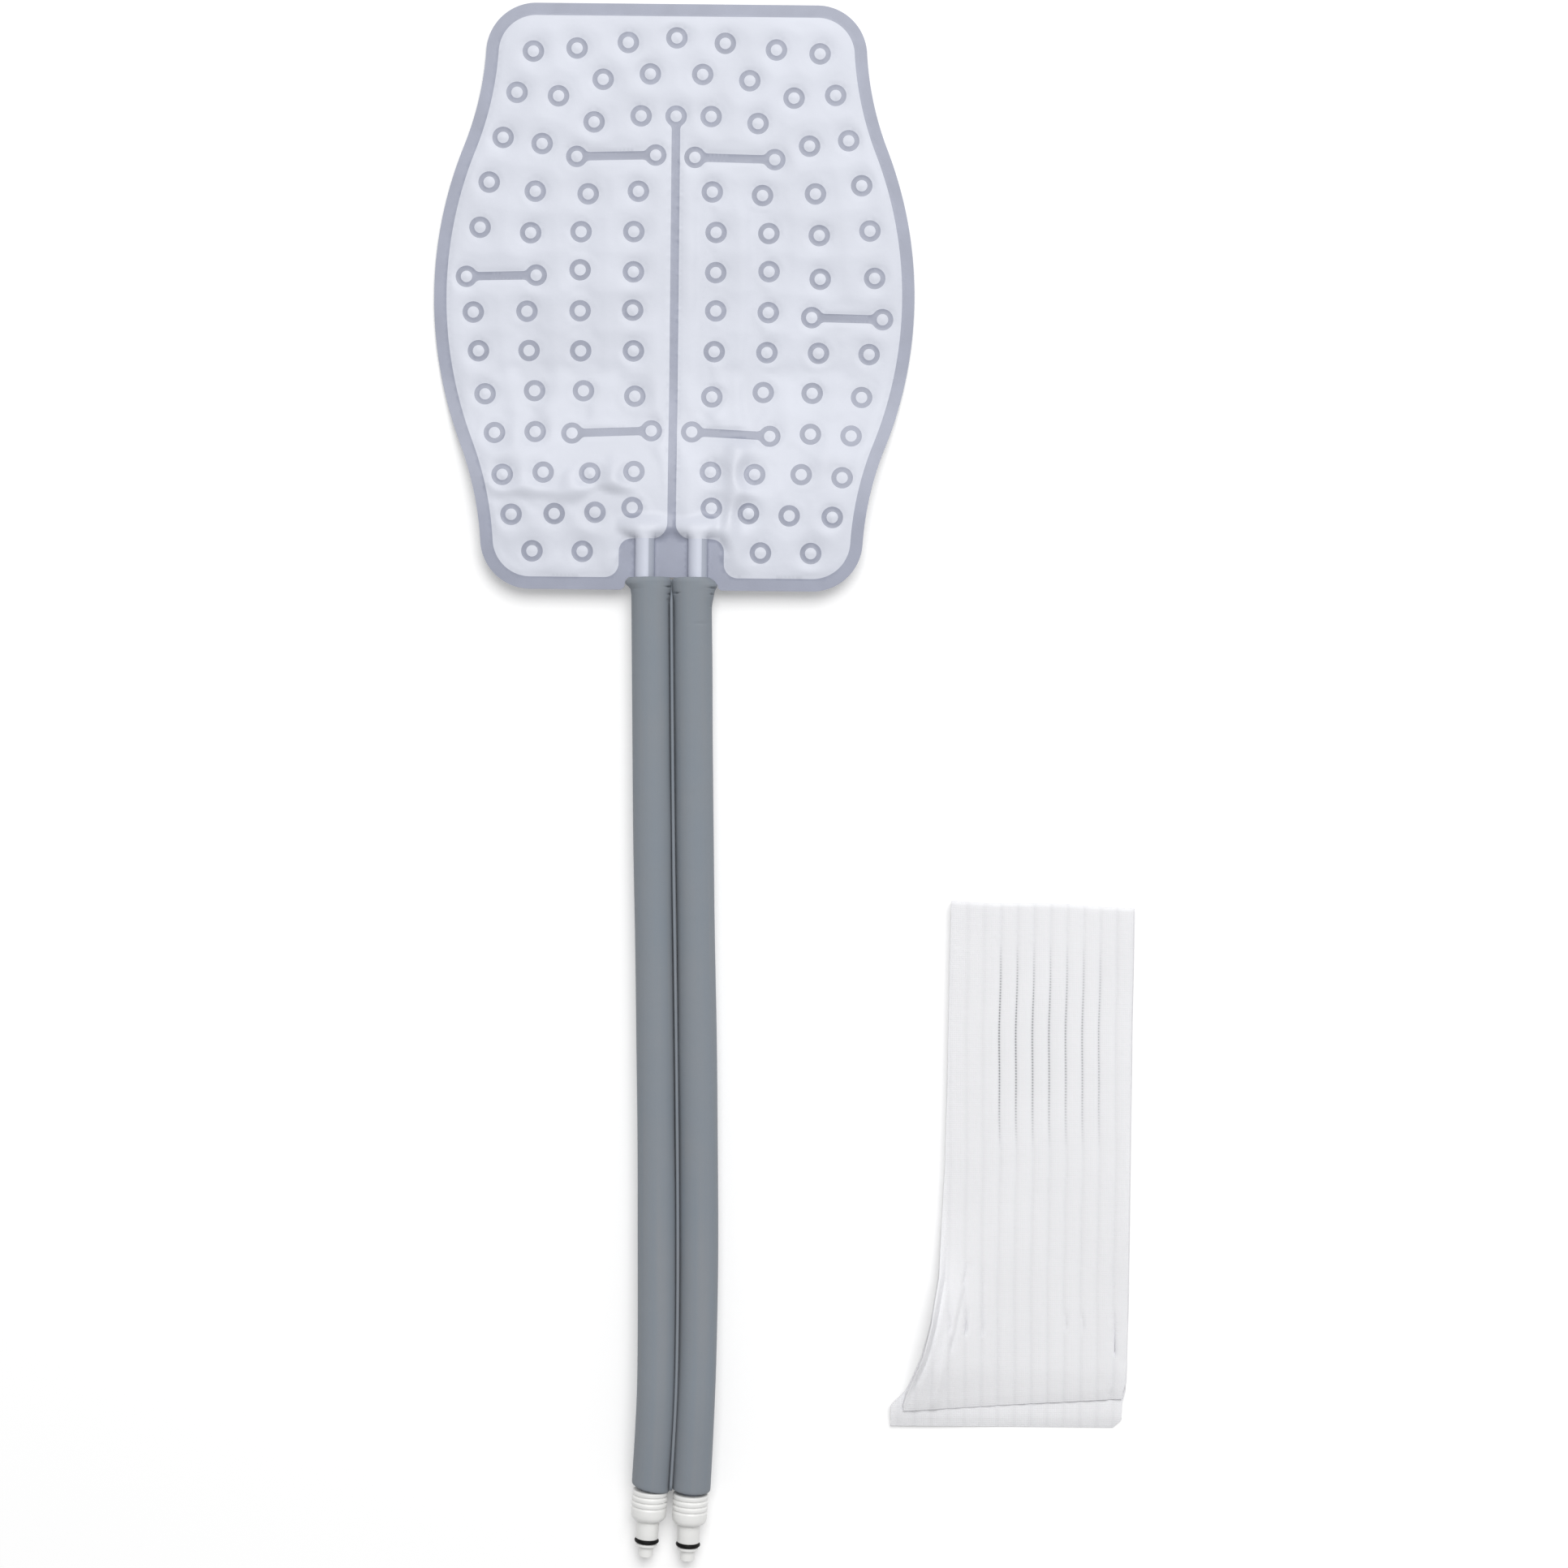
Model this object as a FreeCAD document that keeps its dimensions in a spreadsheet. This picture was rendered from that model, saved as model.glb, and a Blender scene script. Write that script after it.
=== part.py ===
import FreeCAD, Part

import math
import os

import Sketcher

# Hot and cold therapy pad with a bonded pair of insulated hoses, two shut-off coupling
# inserts and a folded elastic wrap.  Millimetres, +Z up.  The origin is the pad's centre on
# the surface that it lies on, +Y runs to the pad's top edge, and the hoses leave along -Y.
#
# Supply is the line on the -X side and return the one on the +X side.

V = FreeCAD.Vector
X, Y, Z = V(1, 0, 0), V(0, 1, 0), V(0, 0, 1)
ORIGIN = V(0, 0, 0)

doc = FreeCAD.newDocument("TherapyPad")

# ---------------------------------------------------------------- driving dimensions
DIMENSIONS = [
    # pad outline: belly, waist and corner arcs, tangent to one another
    ("pad_half_width", 124.8),
    ("pad_half_length", 152.5),
    ("belly_radius", 212.0),
    ("waist_radius", 164.5),
    ("waist_height", 138.0),
    ("corner_radius", 26.0),
    # the two films: how far each stands from the weld plane, and its own thickness
    ("film_rise", 1.6),
    ("film_wall", 0.5),
    # the lower end is carried up to the height of the hoses by an even double bend
    ("bend_start", -35.0),
    ("bend_end", -114.0),
    # weld pattern
    ("edge_weld_width", 6.4),
    ("ring_radius", 5.6),
    ("ring_hole_radius", 3.0),
    ("bar_half_width", 2.2),
    ("bar_flare_radius", 3.0),
    ("seam_top", 94.2),
    ("seam_flare_radius", 8.0),
    ("land_half_width", 27.2),
    ("land_top", -126.0),
    ("land_corner_radius", 6.6),
    ("land_foot_radius", 7.3),
    # notch in the bottom edge, in which the sleeves' ends sit
    ("notch_half_width", 26.2),
    ("notch_inner_half_width", 23.6),
    ("notch_depth", 7.2),
    ("tongue_tip", -145.7),
    ("port_film_end", -142.0),
    # hoses
    ("port_spacing", 27.4),
    ("port_inner_end", -122.0),
    ("port_nose", -119.5),
    ("tube_radius", 4.75),
    ("tube_bore_radius", 3.175),
    ("sleeve_radius", 10.0),
    ("sleeve_bore_radius", 5.5),
    ("sleeve_flare_radius", 10.85),
    ("sleeve_flare_length", 13.0),
    ("web_width", 4.0),
    ("web_height", 3.0),
    ("web_top_setback", 6.0),
    ("web_end_setback", 1.5),
    # coupling insert: radii, and stations from the sleeve's end towards the nose
    ("collar_radius", 9.2),
    ("rib_valley_radius", 8.6),
    ("rib_pitch", 3.0),
    ("rib_crest", 1.6),
    ("rib_slope", 0.45),
    ("body_radius", 9.1),
    ("body_end", 12.4),
    ("shoulder_end", 16.2),
    ("shoulder_radius", 6.5),
    ("barrel_radius", 5.8),
    ("barrel_relief_radius", 5.5),
    ("barrel_start", 17.4),
    ("groove_start", 25.8),
    ("groove_end", 28.3),
    ("groove_radius", 4.4),
    ("lip_radius", 5.5),
    ("nose_end", 30.0),
    ("chamfer", 0.4),
    ("nose_bore_radius", 3.87),
    ("seat_front", 17.2),
    ("seat_rear", 15.0),
    ("chamber_radius", 5.9),
    ("plug_radius", 6.2),
    ("plug_depth", 3.0),
    # hose barb
    ("barb_root_radius", 3.15),
    ("barb_crest_radius", 3.55),
    ("barb_bore_radius", 2.2),
    ("barb_length", 14.0),
    ("barb_pitch", 3.6),
    ("tube_gap", 1.0),
    ("spring_boss_radius", 3.3),
    ("spring_boss_height", 1.5),
    # poppet, its seal and its spring
    ("tip_radius", 3.8),
    ("tip_end", 35.6),
    ("tip_bore_radius", 2.3),
    ("tip_bore_depth", 17.8),
    ("port_hole_radius", 1.1),
    ("port_hole_station", 18.6),
    ("head_radius", 5.2),
    ("head_rear", 13.0),
    ("head_front", 14.7),
    ("guide_radius", 2.6),
    ("guide_rear", 10.5),
    ("seal_ring_radius", 4.45),
    ("seal_section_radius", 0.7),
    ("nose_ring_radius", 5.35),
    ("nose_section_radius", 1.0),
    ("spring_radius", 4.4),
    ("spring_wire_radius", 0.35),
    ("spring_turns", 4.5),
    # elastic wrap
    ("wrap_thickness", 1.6),
    ("wrap_layer_pitch", 1.85),
    ("wrap_layers", 4),
]

sheet = doc.addObject("Spreadsheet::Sheet", "Sizes")
for row, (alias, value) in enumerate(DIMENSIONS, 1):
    sheet.set(f"A{row}", alias)
    sheet.set(f"B{row}", str(value))
    sheet.setAlias(f"B{row}", alias)
doc.recompute()


def size(alias):
    """A driving dimension, read from the sheet."""
    return float(getattr(sheet, alias))


def bound(text):
    """An expression in the sheet's aliases, with the sheet's name before each of them."""
    words = text.replace("(", " ( ").replace(")", " ) ").split()
    known = {alias for alias, _ in DIMENSIONS}
    return " ".join(f"Sizes.{w}" if w in known else w for w in words)


# Points that a hose passes, from the pad to its coupling.  The last stretch arches a little
# off the surface and comes down on the coupling's collar.
SLEEVE_ROUTES = {
    "supply": [
        V(-10.6, -146.0, 10.0),
        V(-8.7, -262.0, 10.0),
        V(-5.6, -385.0, 10.0),
        V(-3.7, -485.0, 10.0),
        V(-3.2, -543.0, 12.0),
        V(-3.5, -581.0, 14.3),
        V(-6.0, -617.8, 10.4),
    ],
    "return": [
        V(11.0, -146.0, 10.0),
        V(12.9, -262.0, 10.0),
        V(16.0, -385.0, 10.0),
        V(17.9, -485.0, 10.0),
        V(17.9, -544.5, 12.0),
        V(16.7, -582.5, 14.3),
        V(14.9, -619.6, 10.4),
    ],
}
SIDES = {"supply": -1, "return": 1}

# Centres of the weld rings, (distance from the seam, height), row by row from the top.
PAIRED_RINGS = [
    (25.2, 132.3), (51.8, 129.1), (74.5, 127.3),
    (13.6, 116.0), (38.1, 113.0), (61.2, 104.2), (82.8, 105.8),
    (18.2, 94.2), (42.6, 90.8), (69.5, 79.3), (89.8, 82.3),
    (19.2, 55.0), (45.3, 53.4), (72.8, 54.5), (96.8, 59.0),
    (21.4, 34.0), (48.8, 33.7), (75.0, 32.9), (101.3, 35.5),
    (21.4, 13.1), (49.1, 13.9),
    (21.6, -6.8), (48.9, -7.4),
    (21.0, -28.0), (48.4, -28.2), (75.2, -28.3), (101.5, -28.7),
    (20.0, -51.6), (46.7, -49.0), (72.1, -49.2), (97.8, -51.1),
    (71.4, -70.7), (92.5, -71.4),
    (19.8, -91.2), (42.7, -92.2), (66.8, -92.0), (88.0, -93.4),
    (20.5, -110.0), (39.7, -112.6), (60.8, -113.5), (83.1, -114.1),
    (46.1, -132.9), (72.1, -132.9),
]
SINGLE_RINGS = [(0.0, 134.9), (75.7, 10.2), (104.0, 10.9), (-76.5, -7.9), (-104.4, -8.6)]
BARS = [
    ((-51.4, 72.8), (-10.4, 73.9)),
    ((10.0, 72.9), (51.5, 72.1)),
    ((-108.1, 9.9), (-71.9, 10.9)),
    ((71.5, -9.8), (108.3, -10.5)),
    ((-52.3, -71.3), (-11.2, -69.7)),
    ((9.8, -70.1), (50.3, -72.0)),
]


# ---------------------------------------------------------------- flat outlines
def arc(x, y, radius, start, end):
    """An arc in the ground plane, anticlockwise from start to end, in radians."""
    circle = Part.Circle(V(x, y, 0), Z, radius)
    return Part.ArcOfCircle(circle, start, end).toShape()


def line(a, b):
    return Part.LineSegment(V(*a, 0), V(*b, 0)).toShape()


def mirrored(edges, normal):
    return [e.mirror(ORIGIN, normal) for e in edges]


def prism(edges, low=-5.0, high=40.0):
    """The upright solid over a closed outline."""
    face = Part.Face(Part.Wire(Part.__sortEdges__(edges)))
    face.translate(V(0, 0, low))
    return face.extrude(V(0, 0, high - low))


def pad_border(inset):
    """The pad's outline, moved inwards: belly, waist and corner arcs share their centres."""
    belly_radius, waist_radius = size("belly_radius"), size("waist_radius")
    corner_radius, waist_y = size("corner_radius"), size("waist_height")
    belly_x = size("pad_half_width") - belly_radius
    corner_y = size("pad_half_length") - corner_radius
    reach = belly_radius + waist_radius
    waist_x = belly_x + math.sqrt(reach**2 - waist_y**2)
    corner_reach = waist_radius + corner_radius
    corner_x = waist_x - math.sqrt(corner_reach**2 - (waist_y - corner_y) ** 2)
    belly_turn = math.asin(waist_y / reach)
    corner_turn = math.asin((waist_y - corner_y) / corner_reach)
    top = size("pad_half_length") - inset
    upper = [
        arc(waist_x, waist_y, waist_radius + inset, math.pi + corner_turn, math.pi + belly_turn),
        arc(corner_x, corner_y, corner_radius - inset, corner_turn, math.pi / 2),
    ]
    belly = [arc(belly_x, 0, belly_radius - inset, -belly_turn, belly_turn)]
    right = upper + mirrored(upper, Y) + belly
    ends = [line((-corner_x, y), (corner_x, y)) for y in (top, -top)]
    return right + mirrored(right, X) + ends


def ring_weld(x, y, inset):
    """A weld ring as an upright solid, its edges moved inwards."""
    outer = Part.makeCylinder(size("ring_radius") - inset, 45, V(x, y, -5))
    return outer.cut(Part.makeCylinder(size("ring_hole_radius") + inset, 45, V(x, y, -5)))


def flare_reach(half_width):
    """Distance from a ring's centre to the centre of the flare that runs it into a bar."""
    flare = size("bar_flare_radius")
    return math.sqrt((size("ring_radius") + flare) ** 2 - (half_width + flare) ** 2)


def bar_weld(a, b, inset):
    """Two weld rings joined by a bar that flares into them."""
    half, flare = size("bar_half_width") - inset, size("bar_flare_radius") + inset
    ring = size("ring_radius") - inset
    length = math.dist(a, b)
    reach = flare_reach(size("bar_half_width"))
    lean = math.atan2(half + flare, reach)
    end = [
        arc(0, 0, ring, lean, 2 * math.pi - lean),
        arc(reach, half + flare, flare, math.pi + lean, 1.5 * math.pi),
        arc(reach, -half - flare, flare, 0.5 * math.pi, math.pi - lean),
    ]
    sides = [line((reach, y), (length - reach, y)) for y in (half, -half)]
    far_end = mirrored(end, X)
    for edge in far_end:
        edge.translate(V(length, 0, 0))
    weld = prism(end + sides + far_end)
    weld.rotate(ORIGIN, Z, math.degrees(math.atan2(b[1] - a[1], b[0] - a[0])))
    weld.translate(V(*a, 0))
    hole = size("ring_hole_radius") + inset
    return weld.cut([Part.makeCylinder(hole, 45, V(*p, -5)) for p in (a, b)])


def neck_weld(inset):
    """The centre seam with its top ring, running down into the wide land between the ports."""
    half, flare = size("bar_half_width") - inset, size("bar_flare_radius") + inset
    seam_flare = size("seam_flare_radius")
    foot = size("land_foot_radius")
    corner = size("land_corner_radius")
    land_half, land_top = size("land_half_width"), size("land_top")
    base = size("edge_weld_width") - size("pad_half_length")
    top = size("seam_top")
    reach = flare_reach(size("bar_half_width"))
    lean = math.atan2(reach, half + flare)
    flare_x, flare_y = size("bar_half_width") + seam_flare, land_top + seam_flare
    foot_x = land_half + foot
    below = base - 3.0
    right = [
        arc(half + flare, top - reach, flare, math.pi - lean, math.pi),
        line((half, top - reach), (half, flare_y)),
        arc(flare_x, flare_y, seam_flare + inset, math.pi, 1.5 * math.pi),
        line((flare_x, land_top - inset), (land_half - corner, land_top - inset)),
        arc(land_half - corner, land_top - corner, corner - inset, 0, math.pi / 2),
        line((land_half - inset, land_top - corner), (land_half - inset, base + foot)),
        arc(foot_x, base + foot, foot + inset, math.pi, 1.5 * math.pi),
        line((foot_x, base - inset), (foot_x, below)),
    ]
    crown = arc(0, top, size("ring_radius") - inset, -lean, math.pi + lean)
    closing = line((-foot_x, below), (foot_x, below))
    weld = prism(right + mirrored(right, X) + [crown, closing])
    return weld.cut(Part.makeCylinder(size("ring_hole_radius") + inset, 45, V(0, top, -5)))


def spot_welds(inset):
    """Every ring and bar weld as an upright solid."""
    centres = SINGLE_RINGS + [(side * x, y) for x, y in PAIRED_RINGS for side in (-1, 1)]
    rings = [ring_weld(x, y, inset) for x, y in centres]
    return rings + [bar_weld(a, b, inset) for a, b in BARS]


# ---------------------------------------------------------------- pad films
def bent_slab(low, high):
    """A slab that follows the pad's side profile, between two heights over the weld plane."""
    near, far = size("pad_half_length") + 10, -size("pad_half_length") - 10
    start, end = size("bend_start"), size("bend_end")
    z_flat, z_raised = size("film_rise"), 10.0
    run, rise = start - end, z_raised - z_flat
    radius = (run**2 + rise**2) / (4 * rise)
    turn = math.asin(run / 2 / radius)

    def side_arc(y, z, r, a0, a1):
        spots = [V(0, y + r * math.cos(a), z + r * math.sin(a)) for a in (a0, (a0 + a1) / 2, a1)]
        return Part.Arc(*spots).toShape()

    def run_line(y0, y1, z):
        return Part.LineSegment(V(0, y0, z), V(0, y1, z)).toShape()

    edges = []
    for offset in (low, high):
        edges += [
            run_line(near, start, z_flat + offset),
            side_arc(start, z_flat + radius, radius - offset, -math.pi / 2, -math.pi / 2 - turn),
            side_arc(end, z_raised - radius, radius + offset, math.pi / 2 - turn, math.pi / 2),
            run_line(end, far, z_raised + offset),
        ]
    for y, z in ((near, z_flat), (far, z_raised)):
        edges.append(Part.LineSegment(V(0, y, z + low), V(0, y, z + high)).toShape())
    face = Part.Face(Part.Wire(Part.__sortEdges__(edges)))
    half = size("pad_half_width") + 10
    face.translate(V(-half, 0, 0))
    return face.extrude(V(2 * half, 0, 0))


def port_form(radius):
    """Both round-nosed forms, coaxial with the tubes, in the pad's neck."""
    nose, start = size("port_nose"), -size("pad_half_length") - 5
    forms = []
    for side in SIDES.values():
        x = side * size("port_spacing") / 2
        barrel = Part.makeCylinder(radius, nose - start, V(x, start, 10), Y)
        forms.append(barrel.fuse(Part.makeSphere(radius, V(x, nose, 10))))
    return forms


def notch():
    """The gap in the bottom edge: a little deeper over each tube, with a tongue between them."""
    bottom = -size("pad_half_length")
    floor, film_end = bottom + size("notch_depth"), size("port_film_end")
    over_tube = size("tube_radius") + 2 * size("film_wall")
    tube_outer, tube_inner = (size("port_spacing") / 2 + side * over_tube for side in (1, -1))
    points = [
        (size("notch_half_width") + 1, bottom - 3),
        (size("notch_half_width"), bottom),
        (size("notch_inner_half_width"), floor),
        (tube_outer, floor),
        (tube_outer, film_end),
        (tube_inner, film_end),
        (tube_inner, floor),
        (0, size("tongue_tip")),
    ]
    points += [(-x, y) for x, y in reversed(points[:-1])]
    return prism([line(a, b) for a, b in zip(points, points[1:] + points[:1])])


def film_shape(side):
    """One film: side is 1 above the weld plane and -1 below it."""
    rise, wall = size("film_rise"), size("film_wall")
    welded, edge = size("edge_weld_width"), size("pad_half_length")

    def layer(low, high):
        return bent_slab(*sorted((side * low, side * high)))

    channel = prism(pad_border(welded)).cut(spot_welds(0) + [neck_weld(0)])
    rim = Part.makeBox(400, 400, 45, V(-200, -200, -5)).cut(prism(pad_border(welded - wall)))
    pressed = rim.fuse(neck_weld(wall))
    sheet_form = layer(0, rise).common(prism(pad_border(0)))
    film = sheet_form.cut(layer(0, rise - wall).common(channel))
    hollows = layer(wall, rise + 2)
    film = film.cut([hollows.common(pressed)] + [hollows.common(w) for w in spot_welds(wall)])
    half_space = Part.makeBox(100, edge, 20, V(-50, -edge, 10 if side > 0 else -10))
    for form in port_form(size("tube_radius") + wall):
        film = film.fuse(form.common(half_space).common(prism(pad_border(0))))
    return film.cut(port_form(size("tube_radius"))).cut(notch())


def add_films():
    for label, side in (("front_film", 1), ("back_film", -1)):
        film = doc.addObject("Part::Feature", label)
        film.Label = label
        film.Shape = film_shape(side)
        yield film


# ---------------------------------------------------------------- hoses
def rounded_path(points, name):
    """Straight runs joined by arcs as large as they allow; prints the arcs' radii."""
    edges, at, radii = [], points[0], []
    for before, corner, after in zip(points, points[1:], points[2:]):
        back, ahead = (before - corner), (after - corner)
        shorter = min(back.Length, ahead.Length)
        back.normalize()
        ahead.normalize()
        turn = math.pi - back.getAngle(ahead)
        cut = 0.45 * shorter
        radius = cut / math.tan(turn / 2)
        radii.append(round(radius))
        start, end = corner + back * cut, corner + ahead * cut
        bisector = (back + ahead).normalize()
        middle = corner + bisector * (radius / math.cos(turn / 2) - radius)
        edges.append(Part.LineSegment(at, start).toShape())
        edges.append(Part.Arc(start, middle, end).toShape())
        at = end
    edges.append(Part.LineSegment(at, points[-1]).toShape())
    wire = Part.Wire(edges)
    print(name, "length", round(wire.Length, 1), "arc radii", radii)
    return wire


def add_path(points, name):
    path = doc.addObject("Part::Feature", name)
    path.Shape = rounded_path(points, name)
    return path


def place_on(item, point, along):
    item.Placement = FreeCAD.Placement(point, FreeCAD.Rotation(Z, along))


def add_circle(name, point, along, radius):
    """A circle square to a direction, its radius bound to the sheet."""
    circle = doc.addObject("Part::Circle", name)
    circle.setExpression("Radius", bound(radius))
    place_on(circle, point, along)
    return circle


def add_sweep(name, path, points, radius):
    """A solid round rod along a path."""
    sweep = doc.addObject("Part::Sweep", name)
    sweep.Sections = [add_circle(name + "_circle", points[0], points[1] - points[0], radius)]
    sweep.Spine = (path, [])
    sweep.Solid = True
    return sweep


def add_cut(label, base, tool):
    cut = doc.addObject("Part::Cut", label)
    cut.Label = label
    cut.Base, cut.Tool = base, tool
    return cut


def tube_route(line_name):
    """The tube leaves the pad's neck, moves over to the sleeve's middle and follows it."""
    sleeve = SLEEVE_ROUTES[line_name]
    port_x = SIDES[line_name] * size("port_spacing") / 2
    first_run = (sleeve[1] - sleeve[0]).normalize()
    joining = sleeve[0] + first_run * 40.0
    ports = [V(port_x, size("port_inner_end"), 10), V(port_x, sleeve[0].y, 10)]
    return ports + [joining] + sleeve[1:]


def add_hose(line_name):
    """One line: its clear tube, and the foam sleeve round it with a flared upper end."""
    sleeve_points = SLEEVE_ROUTES[line_name]
    tube_points = tube_route(line_name)
    tube_path = add_path(tube_points, f"{line_name}_tube_path")
    along = (sleeve_points[1] - sleeve_points[0]).normalize()
    flare_end = sleeve_points[0] + along * size("sleeve_flare_length")
    plain_points = [flare_end] + sleeve_points[1:]
    plain_path = add_path(plain_points, f"{line_name}_sleeve_path_below_its_flare")

    outer = add_sweep(f"{line_name}_tube_rod", tube_path, tube_points, "tube_radius")
    lumen = add_sweep(f"{line_name}_tube_lumen", tube_path, tube_points, "tube_bore_radius")
    whole_tube = add_cut(f"{line_name}_whole_tube", outer, lumen)
    end_run = (tube_points[-1] - tube_points[-2]).normalize()
    stop = doc.addObject("Part::Cylinder", f"{line_name}_tube_stop")
    stop.setExpression("Radius", bound("2 * tube_radius"))
    stop.setExpression("Height", bound("2 * tube_gap"))
    place_on(stop, tube_points[-1] - end_run * size("tube_gap"), end_run)
    tube = add_cut(f"{line_name}_tube", whole_tube, stop)

    foam = add_sweep(f"{line_name}_foam", plain_path, plain_points, "sleeve_radius")
    growth = size("sleeve_flare_radius") - size("sleeve_radius")
    outward = V(SIDES[line_name] * growth, 0, growth)
    flare = doc.addObject("Part::Loft", f"{line_name}_flare")
    flare.Sections = [
        add_circle(f"{line_name}_flare_top", sleeve_points[0] + outward, along,
                   "sleeve_flare_radius"),
        add_circle(f"{line_name}_flare_root", flare_end, along, "sleeve_radius"),
    ]
    flare.Solid = True
    foam_body = doc.addObject("Part::Fuse", f"{line_name}_foam_body")
    foam_body.Base, foam_body.Tool = foam, flare
    bore = add_sweep(f"{line_name}_bore", tube_path, tube_points, "sleeve_bore_radius")
    return [tube, add_cut(f"{line_name}_sleeve", foam_body, bore)]


def add_web():
    """The strip between the two sleeves: a flat bar down their middle line, cut by both."""
    pairs = zip(SLEEVE_ROUTES["supply"], SLEEVE_ROUTES["return"])
    points = [(a + b) / 2 for a, b in pairs]
    points[0] += (points[1] - points[0]).normalize() * size("web_top_setback")
    points[-1] += (points[-2] - points[-1]).normalize() * size("web_end_setback")
    path = add_path(points, "web_path")
    section = doc.addObject("Part::Plane", "web_section")
    section.setExpression("Length", bound("web_width"))
    section.setExpression("Width", bound("web_height"))
    square_on = FreeCAD.Rotation(X, Z, points[1] - points[0], "YXZ")
    corner = square_on.multVec(V(size("web_width"), size("web_height"), 0)) / 2
    section.Placement = FreeCAD.Placement(points[0] - corner, square_on)
    bar = doc.addObject("Part::Sweep", "web_bar")
    bar.Sections = [section]
    bar.Spine = (path, [])
    bar.Solid = True
    half_cut = add_cut("half_cut_web", bar, doc.getObject("supply_foam"))
    return add_cut("sleeve_web", half_cut, doc.getObject("return_foam"))


# ---------------------------------------------------------------- coupling inserts
def origin_plane(body, role):
    return next(f for f in body.Origin.OriginFeatures if f.Role == role)


def add_body(label):
    body = doc.addObject("PartDesign::Body", label)
    body.Label = label
    return body


def add_sketch(body, name, role="XZ_Plane"):
    sketch = body.newObject("Sketcher::SketchObject", name)
    sketch.AttachmentSupport = [(origin_plane(body, role), "")]
    sketch.MapMode = "FlatFace"
    return sketch


def pin_point(sketch, geometry, point, across, up):
    """Holds one point of a sketch at a place given by two expressions in the sheet."""
    for kind, text in (("DistanceX", across), ("DistanceY", up)):
        index = sketch.addConstraint(Sketcher.Constraint(kind, -1, 1, geometry, point, 1.0))
        sketch.setExpression(f"Constraints[{index}]", bound(text))


def add_turned(label, corners):
    """A piece turned about its own axis: corners are (radius, station) expressions."""
    body = add_body(label)
    sketch = add_sketch(body, label + "_profile")
    count = len(corners)
    guess = [V(5 + 3 * math.cos(i * 2 * math.pi / count), 3 * math.sin(i * 2 * math.pi / count), 0)
             for i in range(count)]
    for i in range(count):
        sketch.addGeometry(Part.LineSegment(guess[i], guess[(i + 1) % count]), False)
    for i in range(count):
        sketch.addConstraint(Sketcher.Constraint("Coincident", i, 2, (i + 1) % count, 1))
    for i, (radius, station) in enumerate(corners):
        pin_point(sketch, i, 1, radius, station)
    turned = body.newObject("PartDesign::Revolution", label + "_turned")
    turned.Profile = sketch
    turned.ReferenceAxis = (sketch, ["V_Axis"])
    turned.Angle = 360.0
    body.Tip = turned
    return body


def add_ring(label, ring_radius, station, section_radius):
    """An O-ring: a circle turned about the axis."""
    body = add_body(label)
    sketch = add_sketch(body, label + "_section")
    sketch.addGeometry(Part.Circle(V(5, 5, 0), Z, 1.0), False)
    pin_point(sketch, 0, 3, ring_radius, station)
    index = sketch.addConstraint(Sketcher.Constraint("Radius", 0, 1.0))
    sketch.setExpression(f"Constraints[{index}]", bound(section_radius))
    turned = body.newObject("PartDesign::Revolution", label + "_turned")
    turned.Profile = sketch
    turned.ReferenceAxis = (sketch, ["V_Axis"])
    turned.Angle = 360.0
    body.Tip = turned
    return body


def coupling_body(line_name):
    ribs = []
    for rib in range(3):
        start = f"{rib} * rib_pitch"
        ribs += [
            ("rib_valley_radius", start),
            ("collar_radius", f"{start} + rib_slope"),
            ("collar_radius", f"{start} + rib_slope + rib_crest"),
            ("rib_valley_radius", f"{start} + 2 * rib_slope + rib_crest"),
        ]
    outside = [
        ("body_radius", "3 * rib_pitch + rib_slope"),
        ("body_radius", "body_end"),
        ("0.9 * body_radius + 0.1 * shoulder_radius", "0.55 * body_end + 0.45 * shoulder_end"),
        ("0.55 * body_radius + 0.45 * shoulder_radius", "0.2 * body_end + 0.8 * shoulder_end"),
        ("shoulder_radius", "shoulder_end"),
        ("barrel_relief_radius", "shoulder_end"),
        ("barrel_relief_radius", "barrel_start - chamfer"),
        ("barrel_radius", "barrel_start"),
        ("barrel_radius", "groove_start"),
        ("groove_radius", "groove_start"),
        ("groove_radius", "groove_end"),
        ("lip_radius", "groove_end"),
        ("lip_radius", "nose_end - chamfer"),
        ("lip_radius - chamfer", "nose_end"),
    ]
    inside = [
        ("nose_bore_radius", "nose_end"),
        ("nose_bore_radius", "seat_front"),
        ("chamber_radius", "seat_rear"),
        ("chamber_radius", "plug_depth"),
        ("plug_radius", "plug_depth"),
        ("plug_radius", "0"),
    ]
    return add_turned(f"{line_name}_coupling_body", ribs + outside + inside)


def hose_barb(line_name):
    stem = [("barb_bore_radius", "0 - barb_length"), ("barb_root_radius - 0.2", "0 - barb_length")]
    for barb in range(3):
        back = f"{barb} * barb_pitch - barb_length"
        stem += [
            ("barb_crest_radius", f"{back} + 2.4"),
            ("barb_root_radius", f"{back} + 2.6"),
            ("barb_root_radius", f"{back} + barb_pitch - 0.1"),
        ]
    plug = [
        ("barb_root_radius", "0"),
        ("plug_radius - 0.04", "0"),
        ("plug_radius - 0.04", "plug_depth - 0.04"),
        ("spring_boss_radius", "plug_depth - 0.04"),
        ("spring_boss_radius", "plug_depth + spring_boss_height"),
        ("barb_bore_radius", "plug_depth + spring_boss_height"),
    ]
    return add_turned(f"{line_name}_hose_barb", stem + plug)


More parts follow.
